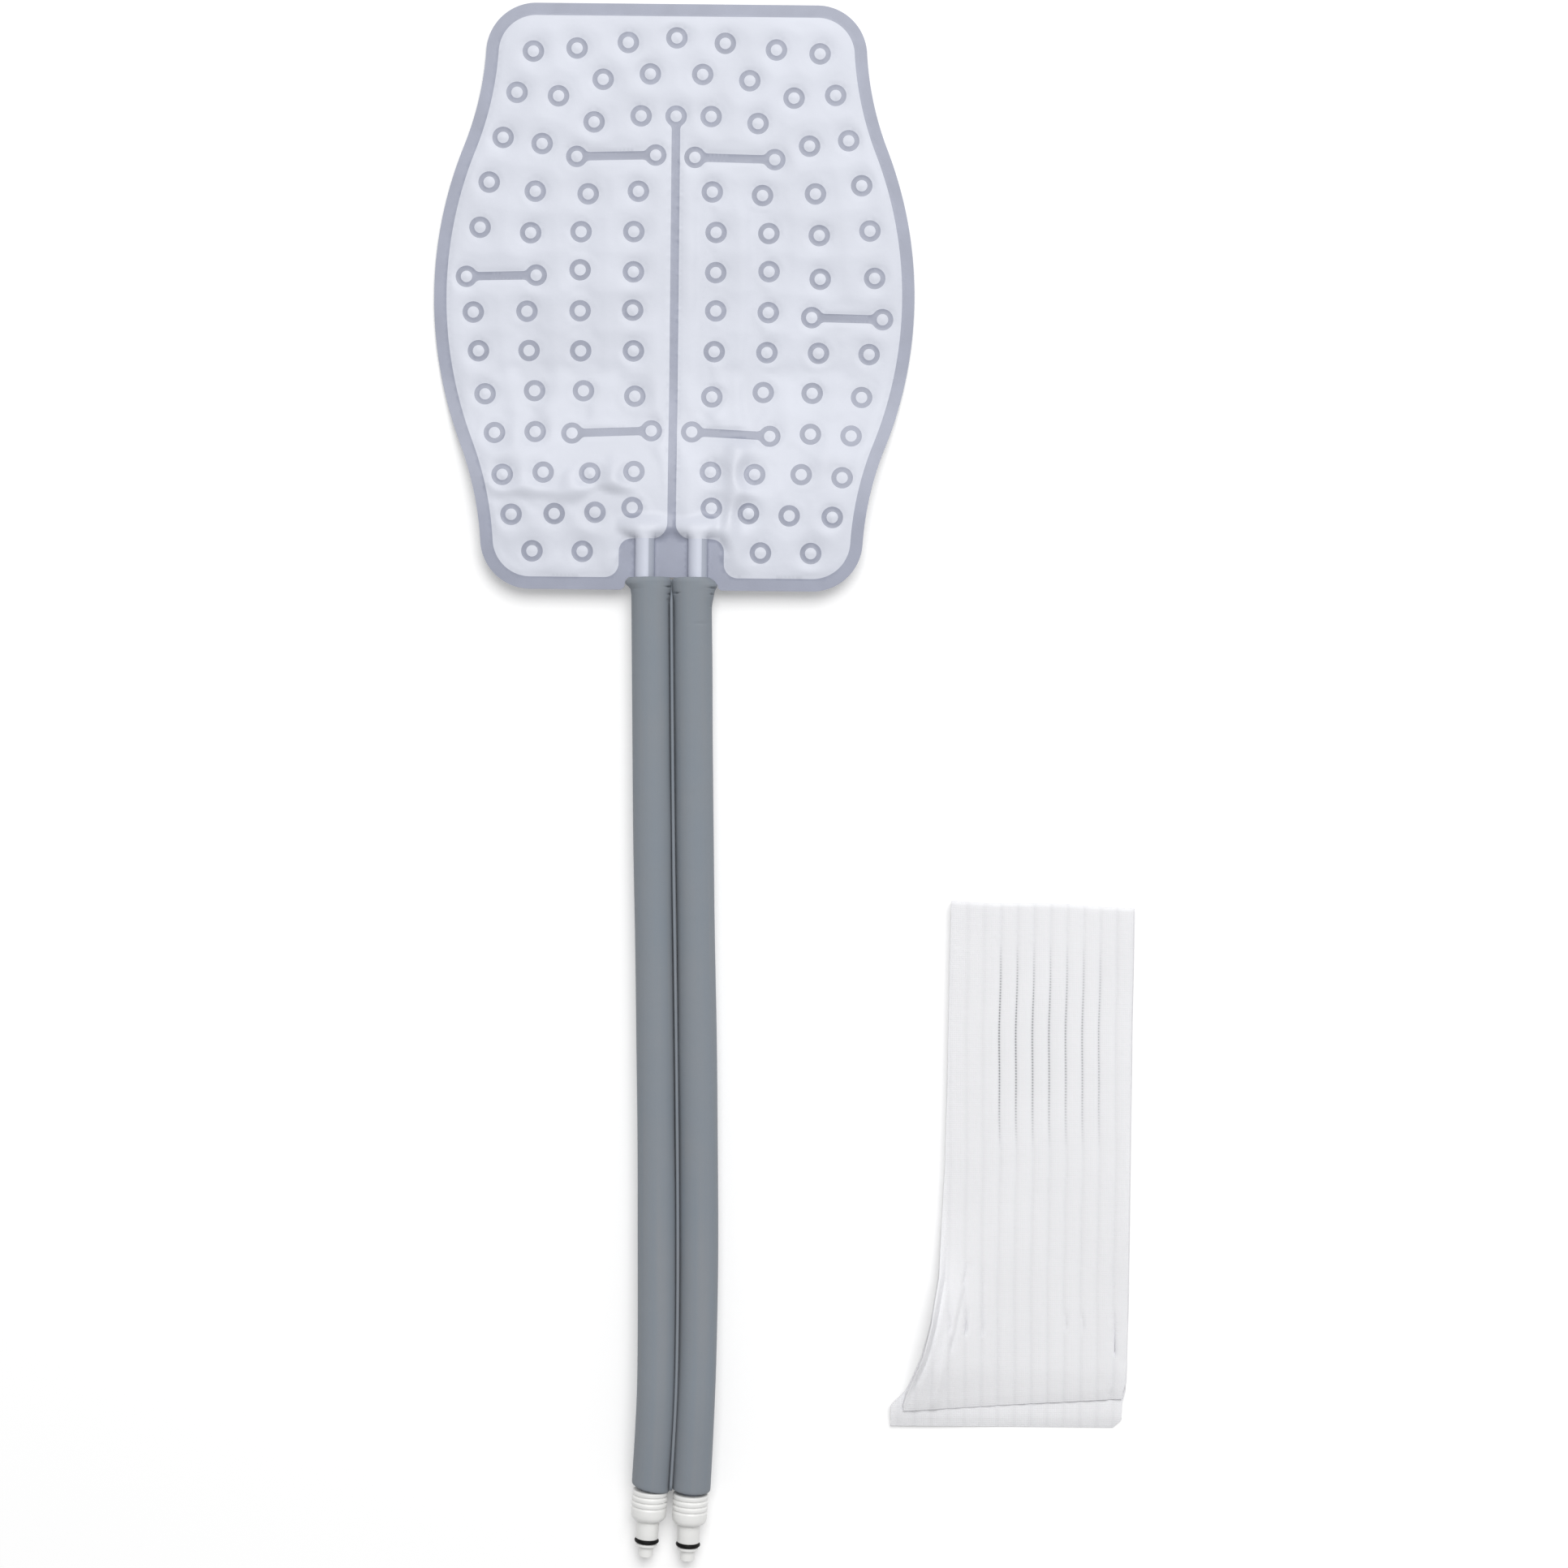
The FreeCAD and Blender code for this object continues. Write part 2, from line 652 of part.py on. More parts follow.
def valve_poppet(line_name):
    body = add_turned(
        f"{line_name}_valve_poppet",
        [
            ("0", "guide_rear"),
            ("guide_radius", "guide_rear"),
            ("guide_radius", "head_rear"),
            ("head_radius", "head_rear"),
            ("head_radius", "head_front"),
            ("tip_radius", "head_front"),
            ("tip_radius", "tip_end - chamfer"),
            ("tip_radius - chamfer", "tip_end"),
            ("tip_bore_radius", "tip_end"),
            ("tip_bore_radius", "tip_end - tip_bore_depth"),
            ("0", "tip_end - tip_bore_depth"),
        ],
    )
    ports = add_sketch(body, f"{line_name}_ports")
    ports.addGeometry(Part.Circle(V(0, 18, 0), Z, 1.0), False)
    pin_point(ports, 0, 3, "0", "port_hole_station")
    index = ports.addConstraint(Sketcher.Constraint("Radius", 0, 1.0))
    ports.setExpression(f"Constraints[{index}]", bound("port_hole_radius"))
    doc.recompute()
    drilled = body.newObject("PartDesign::Pocket", f"{line_name}_port_pair")
    drilled.Profile = ports
    drilled.Type = "ThroughAll"
    drilled.Midplane = True
    doc.recompute()
    around = body.newObject("PartDesign::PolarPattern", f"{line_name}_port_pairs")
    around.Originals = [drilled]
    around.Axis = (ports, ["V_Axis"])
    around.Angle = 180.0
    around.Occurrences = 2
    body.Tip = around
    return body


def valve_spring(line_name):
    body = add_body(f"{line_name}_valve_spring")
    sketch = add_sketch(body, f"{line_name}_wire")
    sketch.addGeometry(Part.Circle(V(4, 4, 0), Z, 0.3), False)
    pin_point(sketch, 0, 3, "spring_radius", "plug_depth + spring_wire_radius + 0.02")
    index = sketch.addConstraint(Sketcher.Constraint("Radius", 0, 0.3))
    sketch.setExpression(f"Constraints[{index}]", bound("spring_wire_radius"))
    doc.recompute()
    coil = body.newObject("PartDesign::AdditiveHelix", f"{line_name}_coil")
    coil.Profile = sketch
    coil.ReferenceAxis = (sketch, ["V_Axis"])
    coil.Mode = "height-turns-angle"
    coil.setExpression("Height", bound("head_rear - plug_depth - 2 * spring_wire_radius - 0.07"))
    coil.setExpression("Turns", bound("spring_turns"))
    body.Tip = coil
    return body


def add_coupling(line_name):
    """The six pieces of one coupling insert, built along Z and laid on the hose's end."""
    pieces = [
        coupling_body(line_name),
        hose_barb(line_name),
        add_ring(f"{line_name}_nose_o_ring", "nose_ring_radius",
                 "( groove_start + groove_end ) / 2", "nose_section_radius"),
        valve_poppet(line_name),
        add_ring(f"{line_name}_poppet_seal", "seal_ring_radius",
                 "head_front + seal_section_radius + 0.03", "seal_section_radius"),
        valve_spring(line_name),
    ]
    route = SLEEVE_ROUTES[line_name]
    for piece in pieces:
        place_on(piece, route[-1], route[-1] - route[-2])
    return pieces


# ---------------------------------------------------------------- elastic wrap
# Plan of the folded wrap: square at the top, fanned out to the left where the layers slip.
WRAP_OUTLINE = [
    (146.7, -313.4), (214.2, -313.2), (241.6, -316.4), (241.0, -455.3), (240.0, -566.4),
    (237.9, -569.8), (238.0, -580.7), (231.7, -586.5), (183.1, -585.0), (140.9, -584.6),
    (118.2, -586.0), (118.0, -573.9), (125.1, -567.1), (132.2, -557.7), (138.3, -536.5),
    (142.2, -498.5), (144.2, -447.8), (145.4, -392.9),
]


def wrap_shape():
    """One strip folded back and forth: flat layers joined by half-round bends."""
    thick, pitch = size("wrap_thickness"), size("wrap_layer_pitch")
    layers = int(size("wrap_layers"))
    outer, inner = (pitch + thick) / 2, (pitch - thick) / 2
    top, bottom = -313.0 - outer, -587.0 + outer
    strip = None
    for layer in range(layers):
        z = layer * pitch
        pieces = [Part.makeBox(140, top - bottom, thick, V(110, bottom, z))]
        if layer < layers - 1:
            y = bottom if layer % 2 == 0 else top
            start = V(110, y, z + thick / 2 + pitch / 2)
            ring = Part.makeCylinder(outer, 140, start, X).cut(
                Part.makeCylinder(inner, 140, start, X))
            keep_from = bottom - 10 if layer % 2 == 0 else top
            pieces.append(ring.common(Part.makeBox(140, 10, 20, V(110, keep_from, 0))))
        for piece in pieces:
            strip = piece if strip is None else strip.fuse(piece)
    edges = [line(a, b) for a, b in zip(WRAP_OUTLINE, WRAP_OUTLINE[1:] + WRAP_OUTLINE[:1])]
    return strip.common(prism(edges)).removeSplitter()


def add_wrap():
    wrap = doc.addObject("Part::Feature", "elastic_wrap")
    wrap.Label = "elastic_wrap"
    wrap.Shape = wrap_shape()
    return wrap


# ---------------------------------------------------------------- assembly and export
def check_and_export(pieces):
    doc.recompute()
    for item in doc.Objects:
        if {"Invalid", "Error"} & set(item.State):
            raise RuntimeError(f"{item.Label} failed: {item.State}")
    for piece in pieces:
        shape = piece.Shape
        if shape.isNull() or not shape.isValid() or len(shape.Solids) != 1:
            raise RuntimeError(f"{piece.Label} is not one valid solid")
    os.makedirs("parts", exist_ok=True)
    for piece in pieces:
        piece.Shape.exportStep(f"parts/{piece.Label}.step")
        low, high = piece.Shape.BoundBox.ZMin, piece.Shape.BoundBox.ZMax
        print(f"{piece.Label}: volume {piece.Shape.Volume:.1f}, z {low:.2f} to {high:.2f}")


def check_tube_volumes(tubes):
    """A tube's volume against its section times its length."""
    section = math.pi * (size("tube_radius") ** 2 - size("tube_bore_radius") ** 2)
    for tube, line_name in zip(tubes, SIDES):
        length = doc.getObject(f"{line_name}_tube_path").Shape.Length - size("tube_gap")
        print(line_name, "tube volume over section times length:",
              round(tube.Shape.Volume / (section * length), 4))


films = list(add_films())
hoses = {name: add_hose(name) for name in SIDES}
web = add_web()
couplings = [piece for name in SIDES for piece in add_coupling(name)]
wrap = add_wrap()
hose_pieces = [piece for name in SIDES for piece in hoses[name]]
check_and_export(films + hose_pieces + [web] + couplings + [wrap])
check_tube_volumes([hoses[name][0] for name in SIDES])
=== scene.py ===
import math
from math import pi

import bpy
import numpy as np
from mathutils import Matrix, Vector, kdtree, noise
from mathutils.geometry import delaunay_2d_cdt


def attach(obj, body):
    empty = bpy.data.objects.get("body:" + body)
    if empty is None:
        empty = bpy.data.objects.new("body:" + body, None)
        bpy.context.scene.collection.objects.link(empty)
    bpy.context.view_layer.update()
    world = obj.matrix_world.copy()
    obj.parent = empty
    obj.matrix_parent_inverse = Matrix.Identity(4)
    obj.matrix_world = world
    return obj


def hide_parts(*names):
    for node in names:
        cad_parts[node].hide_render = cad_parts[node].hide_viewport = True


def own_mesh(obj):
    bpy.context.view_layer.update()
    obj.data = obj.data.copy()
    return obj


# Hot and cold therapy pad, its pair of insulated hoses with shut-off coupling inserts, and a
# folded elastic wrap.  Lengths are millimetres in the row frame until a mesh is made.
# Supply is the line on the -X side.

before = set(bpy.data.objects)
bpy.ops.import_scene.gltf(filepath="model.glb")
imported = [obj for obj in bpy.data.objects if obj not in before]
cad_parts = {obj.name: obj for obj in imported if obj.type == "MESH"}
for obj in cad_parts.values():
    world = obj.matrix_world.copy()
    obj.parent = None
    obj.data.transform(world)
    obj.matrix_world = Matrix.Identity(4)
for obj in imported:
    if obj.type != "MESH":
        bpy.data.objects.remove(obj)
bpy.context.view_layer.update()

MM = 0.001
PAD_BODY, WRAP_BODY = "pad_and_hoses", "wrap"

# ---------------- camera
# The photograph looks straight down: its scale, the pixel of the pad's centre, and its lean.
PHOTO_SIDE = 1932
MM_PER_PIXEL = 0.4222
PAD_CENTRE = (831.0, 367.2)
LEAN = math.radians(0.565)
LENS, SENSOR = 85.0, 36.0


def on_floor(px, py):
    """Where a pixel of the photograph meets the floor."""
    x = (px - PAD_CENTRE[0]) * MM_PER_PIXEL
    y = (PAD_CENTRE[1] - py) * MM_PER_PIXEL
    return (x * math.cos(LEAN) - y * math.sin(LEAN), x * math.sin(LEAN) + y * math.cos(LEAN))


def add_object(name, data):
    item = bpy.data.objects.new(name, data)
    bpy.context.scene.collection.objects.link(item)
    return item


def add_camera():
    data = bpy.data.cameras.new("camera")
    data.lens, data.sensor_width = LENS, SENSOR
    camera = add_object("camera", data)
    middle = on_floor(PHOTO_SIDE / 2, PHOTO_SIDE / 2)
    height = PHOTO_SIDE * MM_PER_PIXEL * LENS / SENSOR
    camera.location = (middle[0] * MM, middle[1] * MM, height * MM)
    camera.rotation_euler = (0, 0, LEAN)
    bpy.context.scene.camera = camera


add_camera()


# ---------------- mesh helpers
def add_mesh(name, points, faces):
    """A smooth-shaded mesh from points in millimetres."""
    mesh = bpy.data.meshes.new(name)
    mesh.from_pydata((np.asarray(points, float) * MM).tolist(), [], faces)
    mesh.polygons.foreach_set("use_smooth", [True] * len(mesh.polygons))
    mesh.update()
    return add_object(name, mesh)


def grid_faces(rows, columns, round_columns, round_rows=False):
    """Faces of a grid of points, closed round its columns or rows where asked."""
    faces = []
    for i in range(rows if round_rows else rows - 1):
        for j in range(columns if round_columns else columns - 1):
            a, b = i * columns, (i + 1) % rows * columns
            k = (j + 1) % columns
            faces.append((a + j, a + k, b + k, b + j))
    return faces


def full_turn(count):
    return np.linspace(0, 2 * pi, count, endpoint=False)


def set_uv(item, across, along):
    """A UV map from two values per point, in millimetres."""
    layer = item.data.uv_layers.new(name="millimetres")
    for loop in item.data.loops:
        layer.data[loop.index].uv = (across[loop.vertex_index], along[loop.vertex_index])


def tree_of(points):
    """A tree that finds the nearest of some flat points."""
    tree = kdtree.KDTree(len(points))
    for i, p in enumerate(points):
        tree.insert((*p, 0), i)
    tree.balance()
    return tree


def ease(value, start, end):
    """0 before start, 1 after end, smooth between them."""
    t = np.clip((value - start) / (end - start), 0, 1)
    return t * t * (3 - 2 * t)


def beside(points, a, b, least=0.0):
    """Each point's share of the way from a to b, and its distance from that stretch."""
    way = b - a
    share = np.clip((points - a) @ way / (way @ way), least, 1.0)
    return share, np.linalg.norm(points - a - share[..., None] * way, axis=-1)


def unevenness(points, scale, seed):
    """Smooth noise from about -1 to 1 at each point, for bumps about scale apart."""
    return np.array([noise.noise(Vector((*p, seed)) / scale) for p in points]) * 1.6


# ---------------- hose routes
# Points that a hose passes, from the pad to its coupling.
ROUTES = {
    "supply": [
        (-10.6, -146.0, 10.0), (-8.7, -262.0, 10.0), (-5.6, -385.0, 10.0), (-3.7, -485.0, 10.0),
        (-3.2, -543.0, 12.0), (-3.5, -581.0, 14.3), (-6.0, -617.8, 10.4),
    ],
    "return": [
        (11.0, -146.0, 10.0), (12.9, -262.0, 10.0), (16.0, -385.0, 10.0), (17.9, -485.0, 10.0),
        (17.9, -544.5, 12.0), (16.7, -582.5, 14.3), (14.9, -619.6, 10.4),
    ],
}
# Starts of the tubes: inside the pad's neck, at the sleeve's top, and well down the sleeve.
TUBE_STARTS = {
    "supply": [(-13.7, -122.0, 10.0), (-13.7, -146.0, 10.0), (-9.94, -186.0, 10.0)],
    "return": [(13.7, -122.0, 10.0), (13.7, -146.0, 10.0), (11.66, -186.0, 10.0)],
}
SIDES = {"supply": -1, "return": 1}
TUBE_RADIUS, SLEEVE_RADIUS = 4.75, 10.0


def route_curve(name, route):
    """A smooth NURBS curve that a route's points control."""
    data = bpy.data.curves.new(name, "CURVE")
    data.dimensions = "3D"
    data.resolution_u = 48
    spline = data.splines.new("NURBS")
    spline.points.add(len(route) - 1)
    for point, place in zip(spline.points, route):
        point.co = (*(Vector(place) * MM), 1.0)
    spline.order_u = 3
    spline.use_endpoint_u = True
    return add_object(name, data)


class Line:
    """A route's places and directions, by distance from its start."""

    EXTRA = 12.0  # the straight run on past each end

    def __init__(self, route):
        curve = route_curve("route", route)
        mesh = bpy.data.meshes.new_from_object(curve)
        points = np.array([v.co for v in mesh.vertices], float) / MM
        bpy.data.objects.remove(curve)
        bpy.data.meshes.remove(mesh)
        self.path = points * MM
        gaps = np.linalg.norm(np.diff(points, axis=0), axis=1)
        self.length = gaps.sum()
        first = (points[0] - points[1]) / gaps[0] * self.EXTRA
        last = (points[-1] - points[-2]) / gaps[-1] * self.EXTRA
        self.points = np.vstack([points[0] + first, points, points[-1] + last])
        steps = np.concatenate([[0, self.EXTRA], gaps, [self.EXTRA]])
        self.stations = np.cumsum(steps) - self.EXTRA
        along = np.gradient(self.points, self.stations, axis=0)
        self.along = along / np.linalg.norm(along, axis=1)[:, None]

    def sample(self, table, station):
        return np.stack([np.interp(station, self.stations, column) for column in table.T], -1)

    def at(self, station):
        """Place, direction to +X and direction up, at each station."""
        along = self.sample(self.along, station)
        sideways = np.cross(np.broadcast_to([0.0, 0.0, 1.0], along.shape), along)
        sideways = sideways / np.linalg.norm(sideways, axis=-1)[..., None]
        return self.sample(self.points, station), sideways, np.cross(along, sideways)


lines = {name: Line(route) for name, route in ROUTES.items()}


def coupling_axis(hose):
    """The hose's end, where its insert starts, and the direction out of it."""
    before, end = (Vector(place) for place in ROUTES[hose][-2:])
    return end, (end - before).normalized()


# ---------------- materials
def shader_of(material):
    return material.node_tree.nodes["Principled BSDF"]


def new_material(name, color, roughness, **constants):
    """A Principled material; constants are its shader's other sockets."""
    material = bpy.data.materials.new(name)
    material.use_nodes = True
    shader = shader_of(material)
    shader.inputs["Base Color"].default_value = (*color, 1.0)
    shader.inputs["Roughness"].default_value = roughness
    for socket, value in constants.items():
        shader.inputs[socket.replace("_", " ")].default_value = value
    return material


def add_node(material, kind, **values):
    """A node of a material or world; values are its own settings or its sockets' values."""
    node = material.node_tree.nodes.new("ShaderNode" + kind)
    for key, value in values.items():
        if hasattr(node, key):
            setattr(node, key, value)
        else:
            node.inputs[key.replace("_", " ")].default_value = value
    return node


def link(a, b):
    b.id_data.links.new(a, b)


def noise_node(material, scale, detail=3.0, stretch=None, from_uv=False):
    """Noise over the object in metres, or over its UV map in millimetres."""
    source = add_node(material, "TexCoord").outputs["UV" if from_uv else "Object"]
    texture = add_node(material, "TexNoise", Scale=scale, Detail=detail)
    if stretch:
        mapping = add_node(material, "Mapping", Scale=stretch)
        link(source, mapping.inputs["Vector"])
        source = mapping.outputs["Vector"]
    link(source, texture.inputs["Vector"])
    return texture.outputs["Fac"]


def ramp_node(material, factor, stops):
    """A colour ramp; stops are (position, colour)."""
    ramp = add_node(material, "ValToRGB")
    elements = ramp.color_ramp.elements
    while len(elements) < len(stops):
        elements.new(0.5)
    for element, (position, color) in zip(elements, stops):
        element.position = position
        element.color = (*color, 1.0)
    link(factor, ramp.inputs["Fac"])
    return ramp.outputs["Color"]


def math_node(material, operation, *values):
    """A Math node whose inputs are numbers or other nodes' outputs."""
    node = add_node(material, "Math", operation=operation)
    for socket, value in zip(node.inputs, values):
        if isinstance(value, (int, float)):
            socket.default_value = value
        else:
            link(value, socket)
    return node.outputs[0]


def add_bump(material, height, distance, strength=1.0):
    """One more bump under the shader's normal; distance in metres."""
    bump = add_node(material, "Bump", Strength=strength, Distance=distance)
    link(height, bump.inputs["Height"])
    normal = shader_of(material).inputs["Normal"]
    if normal.links:
        link(normal.links[0].from_socket, bump.inputs["Normal"])
    link(bump.outputs["Normal"], normal)


def tint(color, factor):
    return tuple(min(1.0, c * factor) for c in color)


def set_colors(material, factor, stops):
    """The base colour from a ramp over a factor."""
    link(ramp_node(material, factor, stops), shader_of(material).inputs["Base Color"])


def mottled(name, color, roughness, patches, strengths, *grains, **constants):
    """Its colour wanders between two strengths in patches; a grain is (noise, distance, strength)."""
    material = new_material(name, color, roughness, **constants)
    stops = [(position, tint(color, share)) for position, share in zip((0.3, 0.7), strengths)]
    set_colors(material, noise_node(material, *patches), stops)
    for grain, distance, strength in grains:
        add_bump(material, noise_node(material, *grain), distance, strength)
    return material


ELASTIC_COLOR = (0.96, 0.96, 0.995)
FOAM_STOPS = [
    (0.34, (0.236, 0.270, 0.310)),
    (0.50, (0.247, 0.275, 0.309)),
    (0.66, (0.260, 0.281, 0.309)),
]


def film_material(name, color):
    return mottled(
        name, color, 0.42, (22, 2.0), (0.965, 1.03), ((2600, 2.0), 0.00004, 0.5),
        ((160, 3.0), 0.00025, 0.35), Specular_IOR_Level=0.45)


def weld_material(name, color):
    return mottled(name, color, 0.34, (60, 3.0), (0.94, 1.06), ((1500, 2.0), 0.00005, 0.5),
                   Specular_IOR_Level=0.5)


def foam_material():
    """Foam skin with long faint streaks down the hose and soft patches."""
    material = new_material("foam", FOAM_STOPS[1][1], 0.82, Specular_IOR_Level=0.3,
                            Sheen_Weight=0.12)
    streaks = noise_node(material, 1.0, 2.0, (0.16, 0.004, 1), from_uv=True)
    streaks = math_node(material, "MULTIPLY", streaks, 0.6)
    patches = math_node(material, "MULTIPLY", noise_node(material, 30, 2.0), 0.4)
    set_colors(material, math_node(material, "ADD", streaks, patches), FOAM_STOPS)
    add_bump(material, noise_node(material, 1800, 3.0), 0.00012, 0.5)
    add_bump(material, noise_node(material, 90, 2.0), 0.0006, 0.4)
    return material


# Distance of the first groove from the rib line, and how many grooves come after it.
FIRST_GROOVE, LAST_GROOVE, RIB_PITCH = 7.4, 7, 8.6
# Where along the strip its grooves are pulled open, and how far to either side.
OPEN_AT, OPEN_REACH = 870.0, 54.0
# Places across between which open grooves show threads, with painted shade in the gaps between them,
# and the pitches of the weave.
THREADS_FROM, THREADS_TO = 12.0, 72.0
THREAD_PITCH, WALE_PITCH, WEFT_PITCH = 1.5, 0.96, 1.1


def elastic_material():
    """Woven elastic: weft and wales along the strip as bumps, and painted shade along the grooves and
    between the ladder threads in them.
    """
    material = new_material("elastic", ELASTIC_COLOR, 0.86, Specular_IOR_Level=0.2,
                            Sheen_Weight=0.15, Subsurface_Weight=0.35, Subsurface_Scale=0.0025,
                            Subsurface_Radius=(1.0, 1.0, 1.0))

    def calc(operation, *values):
        return math_node(material, operation, *values)

    def wave(value, pitch, kind="SINE"):
        """A wave from 0 to 1 along a value in millimetres."""
        swing = calc(kind, calc("MULTIPLY", value, 2 * pi / pitch))
        return calc("ADD", calc("MULTIPLY", swing, 0.5), 0.5)

    split = add_node(material, "SeparateXYZ")
    link(add_node(material, "TexCoord").outputs["UV"], split.inputs[0])
    across, along = split.outputs[:2]
    knit = calc("ADD", wave(across, WALE_PITCH), wave(along, WEFT_PITCH))
    add_bump(material, knit, 0.00008, 0.6)
    add_bump(material, noise_node(material, 0.35, 3.0, from_uv=True), 0.0005, 0.35)
    ridge = wave(calc("SUBTRACT", across, FIRST_GROOVE), RIB_PITCH, "COSINE")
    near_groove, groove_shade = calc("POWER", ridge, 18.0), calc("POWER", ridge, 3.5)
    off = calc("DIVIDE", calc("SUBTRACT", along, OPEN_AT), OPEN_REACH)
    is_open = calc("MAXIMUM", calc("SUBTRACT", 1.0, calc("MULTIPLY", off, off)), 0.0)
    for limit, kind in ((THREADS_TO, "LESS_THAN"), (THREADS_FROM, "GREATER_THAN")):
        is_open = calc("MULTIPLY", is_open, calc(kind, across, limit))
    rung = calc("ADD", calc("MULTIPLY", wave(along, THREAD_PITCH), 0.8), 0.25)
    rung = calc("MULTIPLY", rung, calc("ADD", calc("MULTIPLY", across, 0.0085), 0.42))
    # Painted shade: dark dashes between the ladder threads where the grooves are pulled open, and a
    # faint darkening along every groove.
    thread_gap_shade = calc("MULTIPLY", calc("MULTIPLY", near_groove, rung),
                    calc("MULTIPLY", is_open, 0.95))
    painted_shade = calc("ADD", thread_gap_shade, calc("MULTIPLY", groove_shade, 0.055))
    base = calc("MULTIPLY", noise_node(material, 0.02, 2.0, from_uv=True), 0.12)
    shade = calc("SUBTRACT", calc("ADD", base, 0.84), painted_shade)
    shares = [(0.0, 0.25), (0.45, 0.60), (0.92, 1.0)]
    set_colors(material, shade, [(at, tint(ELASTIC_COLOR, share)) for at, share in shares])
    return material


FILM = film_material("film", (0.662, 0.685, 0.763))
BAND = film_material("film_on_tube", (0.62, 0.65, 0.75))
WELD = weld_material("weld", (0.325, 0.346, 0.434))
SPOT = weld_material("spot_weld", (0.312, 0.332, 0.415))
# The clear tube's own grey. The film's faces on the +X side of each tube band also take it, as
# painted shade on that side.
TUBE_AND_SHADE = mottled(
    "clear_tube", (0.44, 0.47, 0.55), 0.38, (80, 2.0, (1, 0.1, 1)), (0.95, 1.04),
    ((400, 2.0, (1, 0.05, 1)), 0.0001, 0.4))
WHITE = mottled(
    "white_plastic", (0.925, 0.925, 0.91), 0.36, (120, 2.0), (0.97, 1.02),
    ((1400, 2.0), 0.00005, 0.4), Specular_IOR_Level=0.5)
SEAL = mottled(
    "black_seal", (0.005, 0.005, 0.005), 0.45, (300, 2.0), (0.8, 1.5),
    ((2500, 2.0), 0.00004, 0.5), Specular_IOR_Level=0.14)
STEEL = mottled(
    "spring_steel", (0.55, 0.56, 0.58), 0.28, (500, 2.0), (0.9, 1.08),
    ((4000, 2.0), 0.00002, 0.4), Metallic=1.0)
FOAM, ELASTIC = foam_material(), elastic_material()


def finish_piece(item, material, body, slot, *nodes):
    """Gives a piece its material and CAD body, and hides the CAD nodes it stands for; slot is not
    used.
    """
    item.data.materials.append(material)
    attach(item, body)
    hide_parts(*nodes)
    return item


# ---------------- pad: weld outlines
HALF_WIDTH, HALF_LENGTH = 124.8, 152.5
BELLY_RADIUS, WAIST_RADIUS, CORNER_RADIUS = 212.0, 164.5, 26.0
WAIST_Y = 138.0
EDGE_WELD = 6.4
RING, RING_HOLE = 5.6, 3.0
BAR_HALF, BAR_FLARE = 2.2, 3.0
SEAM_TOP, SEAM_FLARE = 94.2, 8.0
LAND_HALF, LAND_TOP, LAND_CORNER, LAND_FOOT = 27.2, -126.0, 6.6, 7.3
# Corners of the notch for each sleeve's flared top, down to up, and its top edge.
NOTCHES = {
    "return": [(26.0, -152.5), (24.3, -151.2), (24.2, -149.9), (22.65, -147.8), (21.1, -146.6)],
    "supply": [(26.0, -152.5), (24.1, -151.0), (23.85, -149.2), (23.55, -147.5), (22.5, -146.6)],
}
NOTCH_EDGES, NOTCH_TOP = {"return": 20.05, "supply": 21.65}, -145.95
PORT_X, BETWEEN_PORTS, PORT_LINES_TOP = 13.7, (6.0, 3.0, 0.0), -117.0
# Distances from a tube's axis to the film's lines of points over it, to the edge of the band
# that is stretched over it, and to where the band's stripe on its +X side starts, which is painted
# darker as shade.
PORT_OFFSETS = [0.0, 1.1, 2.1, 3.2, 4.3, 4.95, 5.2, 5.45]
BAND_HALF, SHADED_FROM = 4.95, 2.1
WALL, POINT_GAP = 0.5, 1.1
BEND_START, BEND_END = -35.0, -114.0
Z_FLAT, Z_RAISED = 1.6, 10.0

# Centres of the weld rings, (distance from the seam, height), row by row from the top.
PAIRED_RINGS = [
    (25.2, 132.3), (51.8, 129.1), (74.5, 127.3),
    (13.6, 116.0), (38.1, 113.0), (61.2, 104.2), (82.8, 105.8),
    (18.2, 94.2), (42.6, 90.8), (69.5, 79.3), (89.8, 82.3),
    (19.2, 55.0), (45.3, 53.4), (72.8, 54.5), (96.8, 59.0),
    (21.4, 34.0), (48.8, 33.7), (75.0, 32.9), (101.3, 35.5),
    (21.4, 13.1), (49.1, 13.9),
    (21.6, -6.8), (48.9, -7.4),
    (21.0, -28.0), (48.4, -28.2), (75.2, -28.3), (101.5, -28.7),
    (20.0, -51.6), (46.7, -49.0), (72.1, -49.2), (97.8, -51.1),
    (71.4, -70.7), (92.5, -71.4),
    (19.8, -91.2), (42.7, -92.2), (66.8, -92.0), (88.0, -93.4),
    (20.5, -110.0), (39.7, -112.6), (60.8, -113.5), (83.1, -114.1),
    (46.1, -132.9), (72.1, -132.9),
]
SINGLE_RINGS = [(0.0, 134.9), (75.7, 10.2), (104.0, 10.9), (-76.5, -7.9), (-104.4, -8.6)]
BARS = [
    ((-51.4, 72.8), (-10.4, 73.9)), ((10.0, 72.9), (51.5, 72.1)),
    ((-108.1, 9.9), (-71.9, 10.9)), ((71.5, -9.8), (108.3, -10.5)),
    ((-52.3, -71.3), (-11.2, -69.7)), ((9.8, -70.1), (50.3, -72.0)),
]
RING_CENTRES = SINGLE_RINGS + [(side * x, y) for x, y in PAIRED_RINGS for side in (-1, 1)]


def arc_points(x, y, radius, start, end):
    count = max(3, math.ceil(abs(end - start) * radius / POINT_GAP) + 1)
    return [(x + radius * math.cos(a), y + radius * math.sin(a))
            for a in np.linspace(start, end, count)]


def line_points(a, b):
    count = max(2, math.ceil(math.dist(a, b) / (2 * POINT_GAP)) + 1)
    return [tuple(p) for p in np.linspace(a, b, count)]


